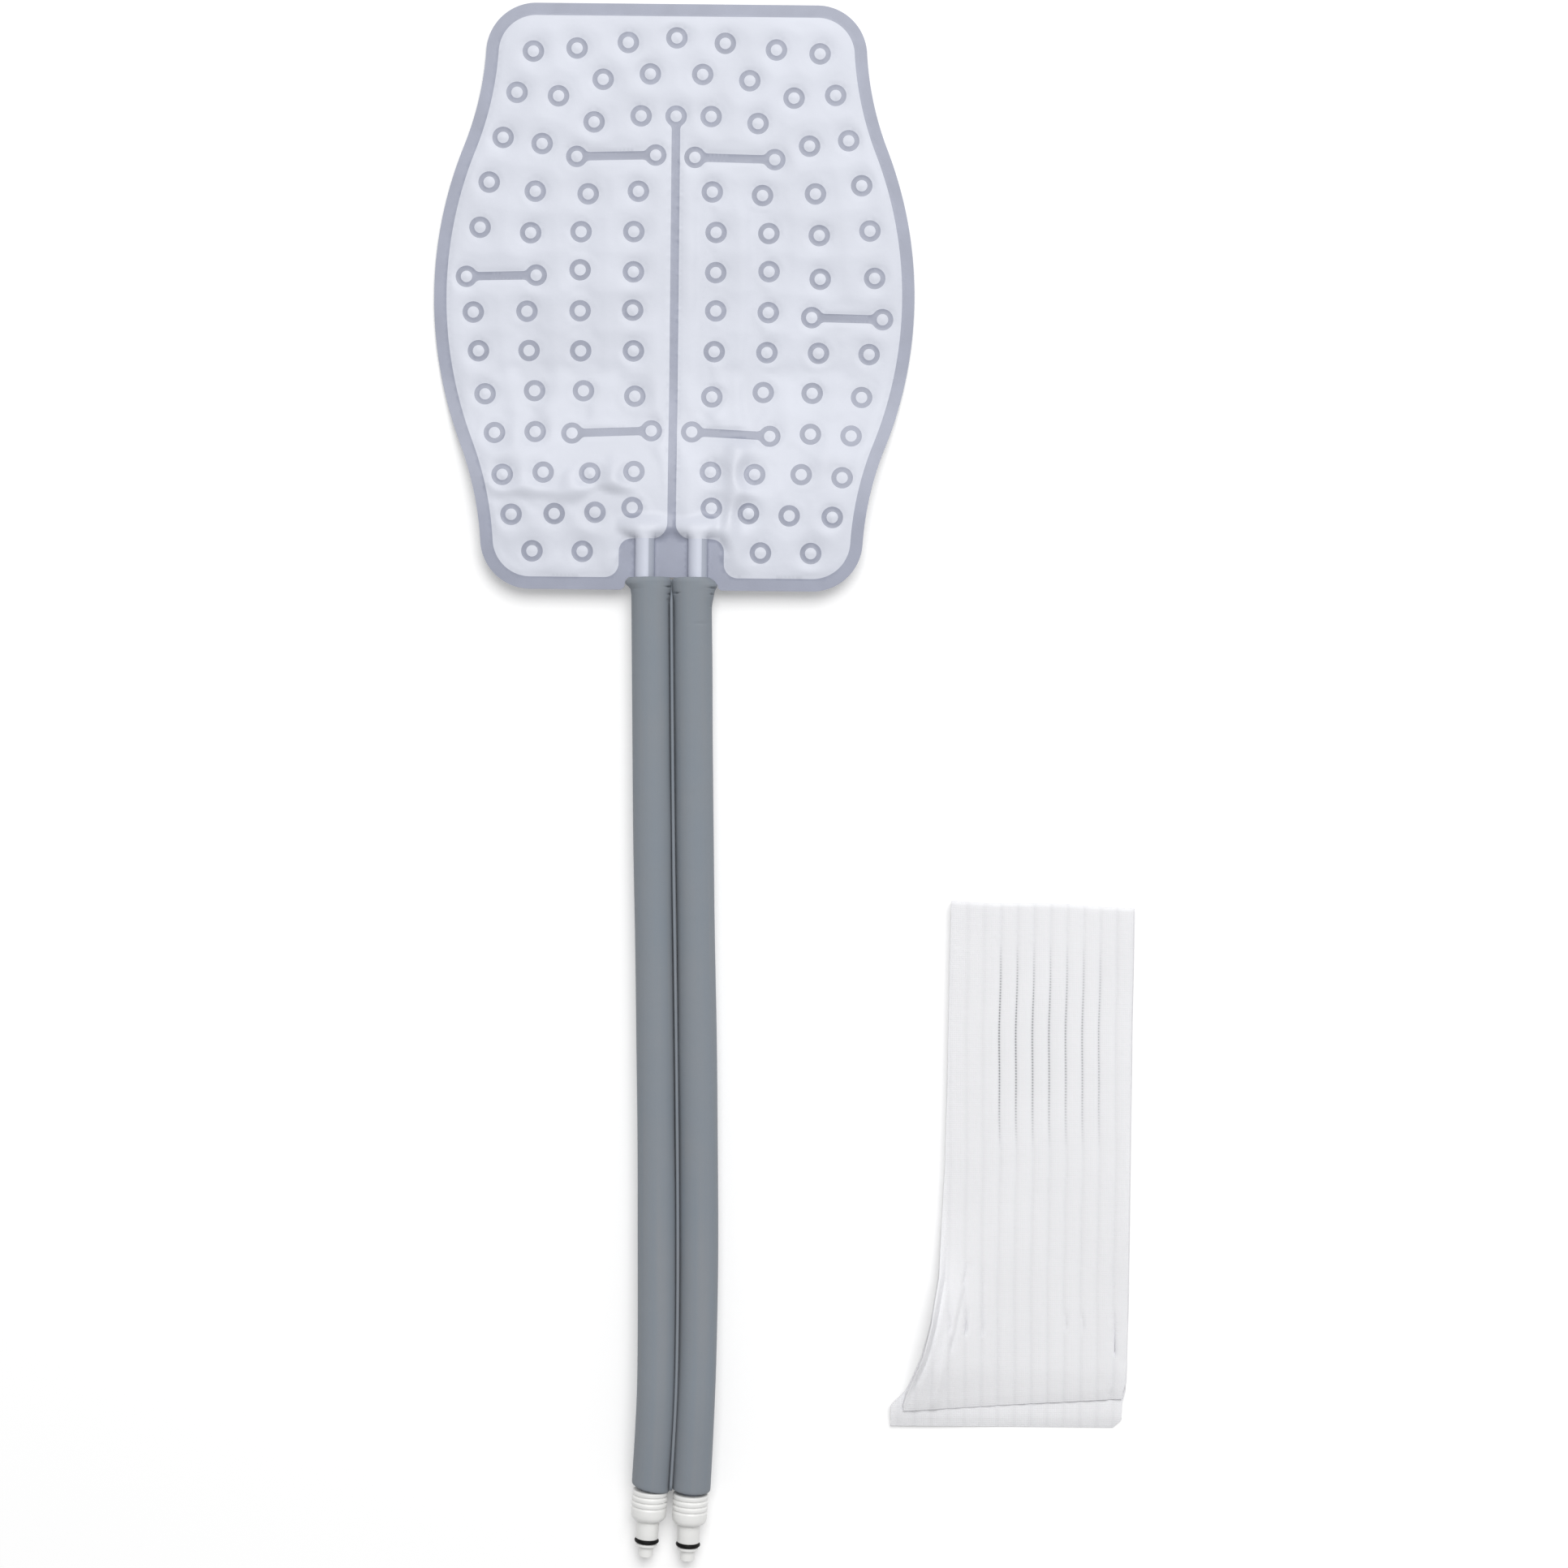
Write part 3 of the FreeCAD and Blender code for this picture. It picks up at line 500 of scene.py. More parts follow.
def joined(*runs):
    """Runs of points as one line, without the points that they share."""
    points = []
    for point in (p for run in runs for p in run):
        if not points or math.dist(points[-1], point) > 1e-3:
            points.append(point)
    return points


def both_halves(right, mirrored):
    """A closed outline from two right halves that start and end on the centre line."""
    return joined(right, [(-x, y) for x, y in reversed(mirrored) if x > 1e-3])


def side_run(inset):
    """The pad's right side from the top's centre to the bottom corner, moved inwards."""
    belly_x = HALF_WIDTH - BELLY_RADIUS
    corner_y = HALF_LENGTH - CORNER_RADIUS
    reach = BELLY_RADIUS + WAIST_RADIUS
    waist_x = belly_x + math.sqrt(reach**2 - WAIST_Y**2)
    corner_reach = WAIST_RADIUS + CORNER_RADIUS
    corner_x = waist_x - math.sqrt(corner_reach**2 - (WAIST_Y - corner_y) ** 2)
    belly_turn = math.asin(WAIST_Y / reach)
    corner_turn = math.asin((WAIST_Y - corner_y) / corner_reach)
    top = HALF_LENGTH - inset
    waist, corner = WAIST_RADIUS + inset, CORNER_RADIUS - inset
    upper = joined(
        arc_points(corner_x, corner_y, corner, pi / 2, corner_turn),
        arc_points(waist_x, WAIST_Y, waist, pi + corner_turn, pi + belly_turn),
    )
    belly = arc_points(belly_x, 0, BELLY_RADIUS - inset, belly_turn, -belly_turn)
    lower = [(x, -y) for x, y in reversed(upper)]
    return joined(line_points((0, top), (corner_x, top)), upper, belly, lower)


def port_crossings():
    """Places across one half of the pad of the lines over its tube."""
    return sorted({PORT_X + way * offset for offset in PORT_OFFSETS for way in (-1, 1)})


def pad_outline():
    """The pad's rim, with a notch at the foot of each half."""
    side, halves = side_run(0), []
    for hose, corners in NOTCHES.items():
        slope = [line_points(a, b) for a, b in zip(corners, corners[1:])]
        across = [NOTCH_EDGES[hose], *reversed(port_crossings()), *BETWEEN_PORTS]
        top = [(x, NOTCH_TOP) for x in across]
        halves.append(joined(side, line_points(side[-1], corners[0]), *slope, top))
    return both_halves(*halves)


# Where a bar's or the seam's flares meet its ring, along it from the ring's centre.
FLARE_OFF = BAR_HALF + BAR_FLARE
FLARE_REACH = math.sqrt((RING + BAR_FLARE) ** 2 - FLARE_OFF**2)


def channel_outline():
    """Inner edge of the border weld, and round the land and the centre seam."""
    side = side_run(EDGE_WELD)
    base = side[-1][1]
    foot_x = LAND_HALF + LAND_FOOT
    flare_x, flare_y = BAR_HALF + SEAM_FLARE, LAND_TOP + SEAM_FLARE
    lean = math.atan2(FLARE_REACH, FLARE_OFF)
    half = joined(
        side,
        line_points(side[-1], (foot_x, base)),
        arc_points(foot_x, base + LAND_FOOT, LAND_FOOT, 1.5 * pi, pi),
        arc_points(LAND_HALF - LAND_CORNER, LAND_TOP - LAND_CORNER, LAND_CORNER, 0, pi / 2),
        arc_points(flare_x, flare_y, SEAM_FLARE, 1.5 * pi, pi),
        line_points((BAR_HALF, flare_y), (BAR_HALF, SEAM_TOP - FLARE_REACH)),
        arc_points(FLARE_OFF, SEAM_TOP - FLARE_REACH, BAR_FLARE, pi, pi - lean),
        arc_points(0, SEAM_TOP, RING, -lean, pi / 2),
    )
    return both_halves(half, half)


def bar_outline(a, b):
    """Two rings and the bar that flares into them, from one half and its turned copy."""
    length, reach, off = math.dist(a, b), FLARE_REACH, FLARE_OFF
    lean = math.atan2(off, reach)
    half = joined(
        arc_points(0, 0, RING, lean, 2 * pi - lean),
        arc_points(reach, -off, BAR_FLARE, pi - lean, pi / 2),
        line_points((reach, -BAR_HALF), (length - reach, -BAR_HALF)),
        arc_points(length - reach, -off, BAR_FLARE, pi / 2, lean),
    )
    local = joined(half, [(length - x, -y) for x, y in half])[:-1]
    turn = math.atan2(b[1] - a[1], b[0] - a[0])
    c, s = math.cos(turn), math.sin(turn)
    return [(a[0] + x * c - y * s, a[1] + x * s + y * c) for x, y in local]


def circle_points(centre, radius):
    return arc_points(*centre, radius, 0, 2 * pi)[:-1]


def is_inside(outline, points):
    """Whether each point is inside a closed outline."""
    inside = np.zeros(len(points), bool)
    x, y = points[:, 0], points[:, 1]
    for (x0, y0), (x1, y1) in zip(outline, outline[1:] + outline[:1]):
        if y0 != y1:
            crosses = (y0 > y) != (y1 > y)
            inside ^= crosses & (x < (x1 - x0) * (y - y0) / (y1 - y0) + x0)
    return inside


bar_ends = [end for bar in BARS for end in bar]
OUTLINE, CHANNEL = pad_outline(), channel_outline()
SPOT_OUTLINES = [bar_outline(a, b) for a, b in BARS]
SPOT_OUTLINES += [circle_points(c, RING) for c in RING_CENTRES]
HOLES = [circle_points(c, RING_HOLE) for c in RING_CENTRES + bar_ends + [(0, SEAM_TOP)]]
WELD_OUTLINES = [CHANNEL] + SPOT_OUTLINES + HOLES


def count_around(outlines, points):
    """How many of the outlines go round each point."""
    count = np.zeros(len(points), int)
    for outline in outlines:
        low, high = np.min(outline, 0), np.max(outline, 0)
        near = np.all((points > low) & (points < high), 1)
        count[near] += is_inside(outline, points[near])
    return count


def is_film(points):
    """Whether each point lies between welds: inside an even number of outlines."""
    count = count_around([OUTLINE] + WELD_OUTLINES, points)
    return (count > 0) & (count % 2 == 0)


# ---------------- pad: heights
def weld_plane(y):
    """Height of the weld plane: flat, then an even double bend up to the hoses."""
    run, rise = BEND_START - BEND_END, Z_RAISED - Z_FLAT
    radius = (run**2 + rise**2) / (4 * rise)
    middle = (BEND_START + BEND_END) / 2
    first = Z_FLAT + radius - np.sqrt(radius**2 - np.clip(BEND_START - y, 0, run / 2) ** 2)
    second = Z_RAISED - radius + np.sqrt(radius**2 - np.clip(y - BEND_END, 0, run / 2) ** 2)
    return np.where(y > middle, first, second)


# Creases in the film: pixels of the photograph on each one's route, its height and half width.
CREASES = [
    ([(602, 600), (640, 603), (668, 602), (690, 612), (712, 604), (740, 596), (770, 600)], 0.85, 4.6),
    ([(606, 616), (650, 618), (690, 628), (716, 622), (768, 616)], -0.9, 4.8),
    ([(694, 572), (736, 560), (780, 556), (806, 572)], -1.1, 8.0),
    ([(704, 586), (742, 592), (770, 588)], 0.7, 6.0),
    ([(736, 606), (752, 620), (778, 632)], -1.0, 4.6),
    ([(796, 590), (810, 612), (816, 640)], -1.2, 6.0),
    ([(909, 546), (910, 596), (908, 622), (898, 650), (890, 668)], 2.3, 6.6),
    ([(888, 552), (887, 596), (887, 622), (876, 644)], -0.6, 5.0),
    ([(884, 480), (885, 512), (886, 566), (884, 610)], 0.6, 4.0),
    ([(925, 480), (926, 512), (924, 534)], -0.8, 4.0),
    ([(717, 290), (718, 380), (719, 450), (717, 510)], -0.8, 5.0),
    ([(652, 390), (653, 450), (655, 516)], -0.9, 5.0),
    ([(868, 250), (868, 320), (867, 400), (865, 510)], -1.1, 4.5),
    ([(934, 260), (935, 330), (930, 420), (928, 500)], -0.9, 5.0),
    ([(620, 458), (690, 456), (760, 460)], -0.5, 5.0),
    ([(900, 460), (970, 462), (1040, 460)], -0.5, 5.0),
    ([(976, 560), (978, 600), (974, 640)], -0.7, 5.0),
]


def crease_height(points):
    """Sum of the creases' heights at each point, unscaled."""
    total = np.zeros(len(points))
    for pixels, height, width in CREASES:
        best = np.full(len(points), 1e9)
        route = np.array([on_floor(px, py) for px, py in pixels])
        for a, b in zip(route[:-1], route[1:]):
            best = np.minimum(best, beside(points, a, b)[1])
        total += height * np.exp(-((best / width) ** 2))
    return total


# The film over a tube turns into a tent past its mouth, that widens and then runs out.
TENT_STARTS, TENT_WIDENS, TENT_ENDS = (-127.5, -123.5), (-129.0, -120.0), (-121.5, -110.0)
TENT_SPREAD = 15.0


def port_lift(points):
    """Height over the weld plane of film that lies on a tube, and above its mouth."""
    over = TUBE_RADIUS + WALL
    x, y = points[:, 0], points[:, 1]
    across = np.abs(np.abs(x) - PORT_X)
    tube = np.sqrt(np.clip(over**2 - across**2, 0, None))
    spread = over + TENT_SPREAD * ease(y, *TENT_WIDENS)
    tent = over * (1 - ease(across, 0.1 * spread, spread))
    beyond = ease(y, *TENT_STARTS)
    return (tube * (1 - beyond) + tent * beyond) * (1 - ease(y, *TENT_ENDS))


# Rise next to a weld and further off, where the film is loose, and where it ripples more.
SHOULDER, SHOULDER_REACH, CROWN, CROWN_REACH = 0.5, 1.1, 0.45, (1.0, 13.0)
LOOSE_AT, MORE_BELOW, CREASE_SCALE = 5.0, (20.0, 90.0), 1.2


def film_lift(points, gap, film, wavy):
    """Height of the film over the weld plane; gap is the distance to a weld."""
    rise = SHOULDER * (1 - np.exp(-gap / SHOULDER_REACH)) + CROWN * ease(gap, *CROWN_REACH)
    loose = np.minimum(gap / LOOSE_AT, 1.0)
    ripple = 0.36 * unevenness(points * (1.0, 0.4), 14.0, 1.0) + 0.34 * unevenness(points, 19.0, 5.0)
    lower = ease(-points[:, 1], *MORE_BELOW)
    rise += loose * wavy * (ripple * (0.6 + 0.9 * lower) + CREASE_SCALE * crease_height(points))
    return np.where(film, WALL + np.clip(rise, 0, None), WALL)


# ---------------- pad: mesh
# Gap of the even points across and between rows, and their least distance from an outline.
GRID, GRID_ROWS, GRID_CLEAR = 2.0, 1.732, 0.8


def grid_points(edge_points):
    """Even points inside the pad's outline, clear of the outlines' own points."""
    tree = tree_of(edge_points)
    rows = np.arange(-HALF_LENGTH, HALF_LENGTH, GRID_ROWS)
    spots = np.array([(x + GRID / 2 * (i % 2), y) for i, y in enumerate(rows)
                      for x in np.arange(-HALF_WIDTH, HALF_WIDTH, GRID)])
    spots = spots[is_inside(OUTLINE, spots)]
    return [tuple(p) for p in spots if tree.find((*p, 0))[2] > GRID_CLEAR]


def port_lines():
    """Lines along the neck over each tube, close together at the tube's sides."""
    return [line_points((side * x, PORT_LINES_TOP), (side * x, NOTCH_TOP))
            for side in (-1, 1) for x in port_crossings()]


def triangulate():
    """Flat points, and triangles between them that follow every weld's outline."""
    points, edges = [], []
    closed = [OUTLINE] + WELD_OUTLINES
    for run, is_closed in [(r, True) for r in closed] + [(r, False) for r in port_lines()]:
        start = len(points)
        points += run
        edges += [(start + i, start + i + 1) for i in range(len(run) - 1)]
        if is_closed:
            edges.append((len(points) - 1, start))
    points += grid_points(points)
    points = [Vector(p) for p in points]
    found, _, faces, _, _, _ = delaunay_2d_cdt(points, edges, [], 0, 1e-5)
    found, faces = np.array(found), np.array(faces)
    faces = faces[is_inside(OUTLINE, found[faces].mean(1))]
    used, faces = np.unique(faces, return_inverse=True)
    return found[used], faces.reshape(-1, 3)


flat_points, flat_faces = triangulate()


def distance_to_welds(points):
    tree = tree_of([p for outline in WELD_OUTLINES for p in outline])
    return np.array([tree.find((*p, 0))[2] for p in points])


def edges_of(faces):
    """Edges that only one face has."""
    runs = np.vstack([faces[:, [0, 1]], faces[:, [1, 2]], faces[:, [2, 0]]])
    _, index, counts = np.unique(np.sort(runs, 1), axis=0, return_index=True, return_counts=True)
    return runs[index[counts == 1]].tolist()


FILM_MATERIALS = [FILM, WELD, BAND, TUBE_AND_SHADE, SPOT]
ON_FILM, ON_WELD, ON_BAND, ON_SHADED, ON_SPOT = range(len(FILM_MATERIALS))


def face_kinds(middles):
    """Each face's place in FILM_MATERIALS, by its middle."""
    offset = middles[:, 0] - np.sign(middles[:, 0]) * PORT_X
    on_tube = (np.abs(offset) < BAND_HALF) & (middles[:, 1] < LAND_TOP)
    on_spot = count_around(SPOT_OUTLINES, middles) > 0
    # Band faces on a tube's +X side take the clear tube's grey: painted shade on that side of the
    # band.
    cases = [on_tube & (offset > SHADED_FROM), is_film(middles), on_tube, on_spot]
    return np.select(cases, [ON_SHADED, ON_FILM, ON_BAND, ON_SPOT], ON_WELD)


def add_film(name, side):
    """One film: side is 1 above the weld plane and -1 below it."""
    gap = distance_to_welds(flat_points)
    film = is_film(flat_points) & (gap > 0.02)
    lift = film_lift(flat_points, gap, film, 1.0 if side > 0 else 0.25)
    if side < 0:
        lift = np.minimum(lift, Z_FLAT)
    lift = np.maximum(lift, port_lift(flat_points))
    base = weld_plane(flat_points[:, 1])
    points = np.column_stack([flat_points, base + side * lift])
    faces = flat_faces if side > 0 else flat_faces[:, ::-1]
    rim = edges_of(faces)
    low = points[np.unique(rim)] - (0, 0, side * WALL)
    place = {v: len(points) + i for i, v in enumerate(np.unique(rim))}
    walls = [(b, a, place[a], place[b]) for a, b in rim]
    item = add_mesh(name, np.vstack([points, low]), faces.tolist() + walls)
    finish_piece(item, FILM, PAD_BODY, "film", "front_film" if side > 0 else "back_film")
    for material in FILM_MATERIALS[1:]:
        item.data.materials.append(material)
    kinds = face_kinds(flat_points[faces].mean(1)).tolist() + [ON_WELD] * len(walls)
    smooth = [kind not in (ON_WELD, ON_SPOT) for kind in kinds]
    item.data.polygons.foreach_set("material_index", kinds)
    item.data.polygons.foreach_set("use_smooth", smooth)
    item.data.set_sharp_from_angle(angle=math.radians(55))
    return item


for film in (add_film("pad_front", 1), add_film("pad_back", -1)):
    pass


# ---------------- hoses
COLUMNS = 72
# How far a sleeve's top stands out on its outer side, by distance from the top, and how far
# it is pressed in on its inner side.
FLARES = {
    "supply": [(0.0, 2.2), (1.5, 3.0), (3.2, 3.1), (4.6, 1.6), (6.0, 0.4), (9.0, 0.0)],
    "return": [(0.0, 0.2), (1.8, 1.6), (4.0, 3.0), (5.2, 2.7), (7.0, 1.6), (10.0, 1.0), (13.0, 0.3),
               (17.0, 0.0)],
}
FLARE_IN, FLARE_IN_END = 0.75, 13.0
# How much a sleeve's lower end is cut back, and how much more on its left side.
END_CUT, END_SLANT = {"supply": 1.2, "return": 1.9}, {"supply": 1.6, "return": 0.3}
BORE_RADIUS, LIP_RADIUS = 5.5, 9.3
# Dents in a sleeve: station, angle round it from its outer side over the top, both half
# widths, and depth.
DENTS = {
    "supply": [(5.2, 2.75, 0.45, 0.28, 1.2), (9.0, 2.9, 0.6, 0.25, 0.7), (12.0, 2.8, 1.2, 0.15, 0.5)],
    "return": [(5.6, 0.45, 0.45, 0.32, 1.3), (8.2, 2.55, 0.4, 0.22, 1.2), (8.8, 0.35, 0.4, 0.20, 1.2),
               (24.0, 1.05, 0.5, 0.40, 0.35), (15.0, 0.30, 0.6, 0.20, 0.4)],
}


def sleeve_profile(length):
    """(station, radius) from inside the top, over the outside, to inside the lower end."""
    top = [(8.0, BORE_RADIUS), (0.8, BORE_RADIUS), (0.2, 5.8), (0.0, 6.4)]
    near = [(s, SLEEVE_RADIUS - 1.3 * max(0.0, 1 - s / 2.4) ** 2) for s in np.arange(0, 12, 0.3)]
    runs = (np.arange(12.0, 32.0, 0.6), np.linspace(32.0, length - 26.0, 150),
            np.arange(length - 25.0, length - 1.5, 1.0))
    body = [(s, SLEEVE_RADIUS) for run in runs for s in run]
    end = [(-1.2, 9.97), (-0.6, 9.86), (-0.2, 9.65), (0.0, 9.42), (-0.3, LIP_RADIUS),
           (-3.0, LIP_RADIUS), (-3.0, BORE_RADIUS), (-12.0, BORE_RADIUS)]
    return np.array(top + near + body + [(length + s, r) for s, r in end])


def add_sleeve(hose):
    """Foam sleeve: a flared, creased top and a lower end cut at a slant."""
    line, side = lines[hose], SIDES[hose]
    profile = sleeve_profile(line.length)
    station, turn = np.meshgrid(profile[:, 0], full_turn(COLUMNS), indexing="ij")
    radius = np.repeat(profile[:, 1][:, None], COLUMNS, 1)
    outer = radius / SLEEVE_RADIUS
    is_outside = radius > 6
    for at, around, half_length, half_turn, depth in DENTS[hose]:
        middle = around if side > 0 else pi - around
        off = (np.remainder(turn - middle + pi, 2 * pi) - pi) / half_turn
        radius = radius - depth * np.exp(-off**2 - ((station - at) / half_length) ** 2) * outer
    wave = np.sin(station / 41.0 + side) * 0.12 + np.sin(station / 17.0) * 0.06
    radius = radius + wave * (radius > 9) * ease(station, 15, 60)
    cut = END_SLANT[hose] * np.cos(turn) * outer - END_CUT[hose]
    cut = cut * ease(station, line.length - 30, line.length)
    place, sideways, up = line.at(station + cut)
    outward = np.interp(station, *zip(*FLARES[hose])) * is_outside
    inward = FLARE_IN * (1 - ease(station, 3, FLARE_IN_END)) * is_outside
    share = (1 + side * np.cos(turn)) / 2
    across = np.cos(turn) * radius + side * (outward * share**2 - inward * (1 - share) ** 2)
    height = np.sin(turn) * radius
    points = (place + across[..., None] * sideways + height[..., None] * up).reshape(-1, 3)
    points[:, 2] = np.maximum(points[:, 2], 0.02)
    item = add_mesh(f"{hose}_foam_sleeve", points, grid_faces(len(profile), COLUMNS, True))
    set_uv(item, (turn * SLEEVE_RADIUS).ravel(), station.ravel())
    return finish_piece(item, FOAM, PAD_BODY, "foam", f"{hose}_sleeve")


WEB_HALF, WEB_TOP, WEB_FOOT, WEB_LENGTH = 0.9, 6.4, -3.0, 470
WEB_ROWS, WEB_COLUMNS = 160, 16
# How far short of the sleeves' ends the web starts and stops, how much deeper its top is at
# its start, and the shares of its length where that ends.
WEB_SHORT, WEB_DEEP, WEB_RISE = (1.0, 2.2), 5.5, (0.012, 0.026)


def add_web():
    """The bonded strip between the sleeves, midway between their lines."""
    share = np.linspace(0, 1, WEB_ROWS)
    trim = WEB_SHORT[0] * (1 - share) - WEB_SHORT[1] * share
    both = [line.at(share * line.length + trim) for line in lines.values()]
    middle, across, up = ((a + b) / 2 for a, b in zip(*both))
    turns = full_turn(WEB_COLUMNS)
    half, centre = (WEB_TOP - WEB_FOOT) / 2, (WEB_TOP + WEB_FOOT) / 2
    sag = 0.25 * np.sin(share * 40) * np.sin(share * 7)
    drop = WEB_DEEP * (1 - ease(share, *WEB_RISE))
    rows = []
    for turn in turns:
        x = WEB_HALF * np.sign(math.cos(turn)) * abs(math.cos(turn)) ** 0.6
        x = x * (0.5 + 0.5 * ease(share, 0, 0.03))[:, None]
        h = centre + half * np.sign(math.sin(turn)) * abs(math.sin(turn)) ** 0.45
        h = h + sag - drop * (h > centre)
        rows.append(middle + across * x + up * h[:, None])
    points = np.stack(rows, 1).reshape(-1, 3)
    corners = range(len(points))
    ends = [corners[:WEB_COLUMNS][::-1], corners[-WEB_COLUMNS:]]
    item = add_mesh("hose_web", points, grid_faces(WEB_ROWS, WEB_COLUMNS, True) + ends)
    set_uv(item, np.tile(turns, WEB_ROWS), np.repeat(share * WEB_LENGTH, WEB_COLUMNS))
    return finish_piece(item, FOAM, PAD_BODY, "foam", "sleeve_web")


# ---------------- coupling inserts
ROUND_STEPS = 4


def rounded(corners):
    """A closed profile of (radius, station, rounding) corners, each rounded off."""
    out = []
    for before, at, after in zip(corners[-1:] + corners[:-1], corners, corners[1:] + corners[:1]):
        corner = Vector(at[:2])
        back, ahead = Vector(before[:2]) - corner, Vector(after[:2]) - corner
        cut = min(at[2], 0.48 * back.length, 0.48 * ahead.length)
        if cut < 0.01:
            out.append(corner)
            continue
        back, ahead = back.normalized() * cut, ahead.normalized() * cut
        for k in np.linspace(0, 1, ROUND_STEPS):
            out.append(corner + back * (1 - k) ** 2 + ahead * k**2)
    return out


def coupling_profile():
    """Three rounded ribs, a convex shoulder, the barrel and its bores."""
    ribs = []
    for start in (0.0, 3.0, 6.0):
        ribs += [(8.45, start, 0.3), (9.2, start + 0.35, 0.9), (9.2, start + 2.15, 0.9),
                 (8.45, start + 2.5, 0.3)]
    outside = [
        (9.1, 9.5, 0.4), (9.1, 12.4, 2.0), (8.84, 14.1, 1.5), (7.93, 15.5, 1.0), (6.5, 16.2, 0.3),
        (5.5, 16.2, 0.2), (5.5, 17.0, 0.0), (5.8, 17.4, 0.3), (5.8, 25.8, 0.3),
        (4.4, 25.8, 0.1), (4.4, 28.3, 0.1), (5.5, 28.3, 0.3), (5.5, 29.6, 0.3), (5.1, 30.0, 0.2),
    ]
    inside = [(3.87, 30.0, 0.1), (3.87, 17.2, 0.1), (5.9, 15.0, 0.1), (5.9, 3.0, 0.0),
              (6.2, 3.0, 0.0), (6.2, 0.0, 0.1)]
    return rounded(ribs + outside + inside)


def add_coupling(hose):
    """The insert's body, turned about the axis of its hose's end."""
    profile = coupling_profile()
    turns = full_turn(COLUMNS)
    end, out = coupling_axis(hose)
    across = Vector((0, 0, 1)).cross(out).normalized()
    up = out.cross(across)
    points = [end + out * p.y + (across * math.cos(t) + up * math.sin(t)) * p.x
              for p in profile for t in turns]
    faces = grid_faces(len(profile), COLUMNS, True, True)
    item = add_mesh(f"{hose}_coupling", points, faces)
    item.data.set_sharp_from_angle(angle=math.radians(50))
    return finish_piece(item, WHITE, PAD_BODY, "white_plastic", f"{hose}_coupling_body")


def dress(node, material):
    """Gives a CAD node its material."""
    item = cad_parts[node]
    item.data.materials.clear()
    item.data.materials.append(material)
    return item


def add_spring(hose):
    """The spring behind the poppet, which shortens towards its seat as the poppet goes in; here it
    only gets steel and a mesh of its own.
    """
    spring = dress(f"{hose}_valve_spring", STEEL)
    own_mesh(spring)
    return spring


def add_tube(hose):
    """The clear tube, from the pad's neck down the sleeve to the barb."""
    tube = route_curve(f"{hose}_port_tube", TUBE_STARTS[hose] + ROUTES[hose][1:])
    tube.data.bevel_depth, tube.data.bevel_resolution = TUBE_RADIUS * MM, 10
    tube.data.use_fill_caps = True
    return finish_piece(tube, TUBE_AND_SHADE, PAD_BODY, "clear_tube", f"{hose}_tube")


add_web()
for hose in SIDES:
    on_sleeve = [
        add_coupling(hose),
        dress(f"{hose}_nose_o_ring", SEAL),
        dress(f"{hose}_valve_poppet", WHITE),
        dress(f"{hose}_poppet_seal", SEAL),
        add_spring(hose),
    ]
    sleeve = add_sleeve(hose)
    add_tube(hose)
    dress(f"{hose}_hose_barb", WHITE)


# ---------------- elastic wrap
# Edges of the folded strip's layers, (height on the page, place across), from top to bottom.
WRAP_TOP, WRAP_FOLD, WRAP_END = -313.3, -576.0, -585.2
RIGHT_EDGE = [(-313, 242.0), (-371, 241.4), (-455, 241.0), (-519, 240.8), (-566, 240.1),
              (-572, 238.4), (-581, 238.0), (-587, 232.0)]
LEFT_EDGE = [(-313, 146.8), (-370, 146.0), (-410, 145.6), (-448, 144.9), (-506, 142.1),
             (-532, 137.7), (-549, 133.3), (-562, 128.2), (-567, 126.0), (-572, 124.6)]
FOOT_LEFT_EDGE = [(-313, 147.4), (-448, 145.2), (-506, 142.4), (-532, 138.0), (-549, 133.4),
                  (-562, 128.0), (-567, 125.4), (-574, 118.1)]
TOP_LAYER, ALONG_COUNT, FOLD_ROWS, END_ROW = 3, 130, 7, 0.15
LAYER_PITCH, LOW_PITCH, CLOTH, FLOOR_GAP = 1.85, 1.35, 1.25, 0.12
# Share of the thickness that is left at the two cut ends, and how long they thin out.
THIN_END, THIN_OVER = 0.35, 5.0
# The line that the grooves run beside, at even distances from it.
RIB_LINE = [(-587, 240.9), (-313, 240.1)]
# Distances from that line to the lines of points along the ribs, close at the grooves, and up
# to where they are squeezed when the strip's right edge comes near.
RIB_STEPS = [-3.5, -2.6, -1.8, -1.2, -0.8, -0.4, 0.0, 0.4, 0.8, 1.2, 1.8, 2.6, 3.5]
RIB_COLUMNS = np.array([FIRST_GROOVE + RIB_PITCH * k + step
                        for k in range(LAST_GROOVE + 1) for step in RIB_STEPS])
SQUEEZED_TO = 25.0
# Shares of the plain parts to the right and left of the ribs.
RIGHT_COLUMNS = np.linspace(0, 1, 5)[:-1]
LEFT_COLUMNS = 1 - (1 - np.linspace(0, 1, 49)[1:]) ** 1.5
ACROSS_COUNT = len(RIGHT_COLUMNS) + len(RIB_COLUMNS) + len(LEFT_COLUMNS)


def edge_at(edge, y):
    return np.interp(y, *zip(*sorted(edge)))


def rib_line_at(y):
    return edge_at(RIB_LINE, y) + 0.3 * np.sin(y / 19.0) + 0.12 * np.sin(y / 7.3)


